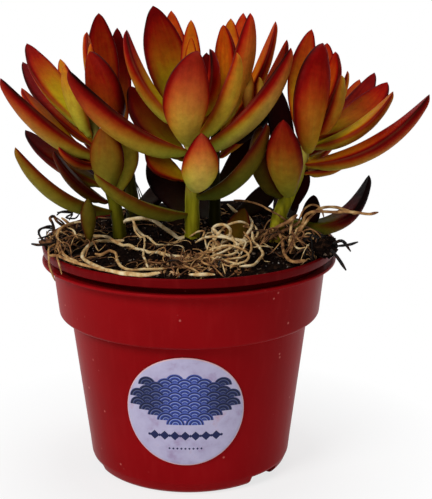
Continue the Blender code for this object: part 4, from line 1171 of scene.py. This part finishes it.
def rootTree(material):
    # thickens the drawn lines into round fibres with a slight wander
    tree, given = newGeometryTree("fibres", {
        "Thickness": 1.0, "Wander": fibreLook["wander"] * mm, "Sides": fibreLook["strandSides"]})
    where = addNode(tree, "GeometryNodeInputPosition")
    wave = addNode(tree, "TexNoise", {"Vector": where, "Scale": perMetre(6.25), "Detail": 2.0})
    centred = addNode(tree, "VectorMath", [wave.outputs["Color"], (0.5, 0.5, 0.5)], operation="SUBTRACT")
    offset = addNode(tree, "VectorMath", {0: centred, 3: given["Wander"]}, operation="SCALE")
    moved = addNode(tree, "GeometryNodeSetPosition", {"Geometry": given["Geometry"], "Offset": offset})
    line = addNode(tree, "GeometryNodeMeshToCurve", [moved])
    thick = addNode(tree, "GeometryNodeInputNamedAttribute", {"Name": "thick"}, data_type="FLOAT")
    scale = addNode(tree, "Math", [thick, given["Thickness"]], operation="MULTIPLY")
    ring = addNode(tree, "GeometryNodeCurvePrimitiveCircle", {"Resolution": given["Sides"], "Radius": 1.0})
    skin = addNode(tree, "GeometryNodeCurveToMesh", {
        "Curve": line, "Profile Curve": ring, "Scale": scale, "Fill Caps": True})
    smooth = addNode(tree, "GeometryNodeSetShadeSmooth", {"Geometry": skin})
    real = addNode(tree, "GeometryNodeRealizeInstances", {"Geometry": smooth})
    coat = addNode(tree, "GeometryNodeSetMaterial", {"Geometry": real, "Material": material})
    addNode(tree, "NodeGroupOutput", {"Geometry": coat})
    return tree


def fibrePiece(name, lines, tree, sides):
    # lines: path in mm, radius at each point, tone at each point
    vertices, edges, thick, tone = [], [], [], []
    for path, radii, tones in lines:
        start = len(vertices)
        vertices += [tuple(p * mm) for p in path]
        edges += [(start + k, start + k + 1) for k in range(len(path) - 1)]
        thick += [r * mm for r in radii]
        tone += list(tones)
    data = bpy.data.meshes.new(name)
    data.from_pydata(vertices, edges, [])
    for key, amounts in (("thick", thick), ("tone", tone)):
        layer = data.attributes.new(key, "FLOAT", "POINT")
        layer.data.foreach_set("value", np.array(amounts, dtype=np.float32))
    return growOn(name, data, tree, Sides=sides)


def strandLine(radius, tone, points):
    # lies on the soil where it would pass below it, and thins out at both ends
    points = np.array(points, dtype=float)
    length = np.linalg.norm(np.diff(points, axis=0), axis=1).sum()
    path = smoothPath(points, max(8, int(length / fibreLook["pointGap"])))
    path[:, 2] += potLook["lipTop"] + fibreLook["overLip"]
    for spot in path:
        if math.hypot(spot[0], spot[1]) < potLook["rim"] - fibreLook["strandMargin"]:
            spot[2] = max(spot[2], soilHeight(spot[0], spot[1]) + 0.75 * radius)
    radii = radius * (1 + 0.14 * np.array([noise.noise(Vector(p) * 0.5) for p in path]))
    radii[:3] *= (0.55, 0.8, 0.95)
    radii[-3:] *= (0.9, 0.7, 0.4)
    tones = tone + 0.08 * np.array([noise.noise(Vector(p) * 0.3 + Vector((5, 1, 2))) for p in path])
    return path, radii, np.clip(tones, 0, 1)


def curlLine(centre, spread, radius, tone, length, lift, rng):
    # wanders over the soil in a hop, and never past the lip
    count = int(rng.integers(9, 16))
    step = length * rng.uniform(0.5, 1.3) / count
    spot = np.array((centre[0] + spread[0] * rng.normal(0, 0.6), centre[1] + spread[1] * rng.normal(0, 0.6)))
    angle, bend = rng.uniform(0, 6.28), rng.normal(0, 0.28)
    hop, start = lift * rng.uniform(0.1, 1.0), rng.uniform(0, 0.4)
    reach = potLook["rim"] - fibreLook["fineMargin"]
    path = []
    for k in range(count):
        away = math.hypot(*spot)
        if away > reach:
            spot *= reach / away
        rise = hop * abs(math.sin(math.pi * (k / count + start)))
        path.append((spot[0], spot[1], soilHeight(spot[0], spot[1]) + fibreLook["fineLift"] + rise))
        bend = 0.8 * bend + rng.normal(0, 0.16)
        angle += bend
        spot = spot + step * np.array((math.cos(angle), math.sin(angle)))
    path = smoothPath(path, count * 2)
    size = radius * rng.uniform(0.6, 1.4)
    radii = size * np.sin(np.linspace(0.5, 2.9, len(path))) ** 0.5
    shade = np.clip(tone + rng.normal(0, 0.16), 0, 1)
    return path, radii, np.full(len(path), shade)


def makeRoots():
    tree = rootTree(dryRoot())
    rng = np.random.default_rng(fibreLook["seed"])
    loose = []
    for name, strand in rootStrands.items():
        line = strandLine(*strand)
        if name in solidRoots:
            piece = fibrePiece("root_" + name, [line], tree, fibreLook["solidSides"])
            finishPiece(piece, "dry_root", solidRoots[name])
        else:
            loose.append(line)
    finishPiece(fibrePiece("root_strands", loose, tree, fibreLook["strandSides"]), "dry_root")
    for name, (centre, spread, count, *fibre) in rootTangles.items():
        lines = [curlLine(centre, spread, *fibre, rng) for _ in range(count)]
        finishPiece(fibrePiece("root_" + name, lines, tree, fibreLook["fineSides"]), "dry_root")


makeRoots()
print("roots are laid")
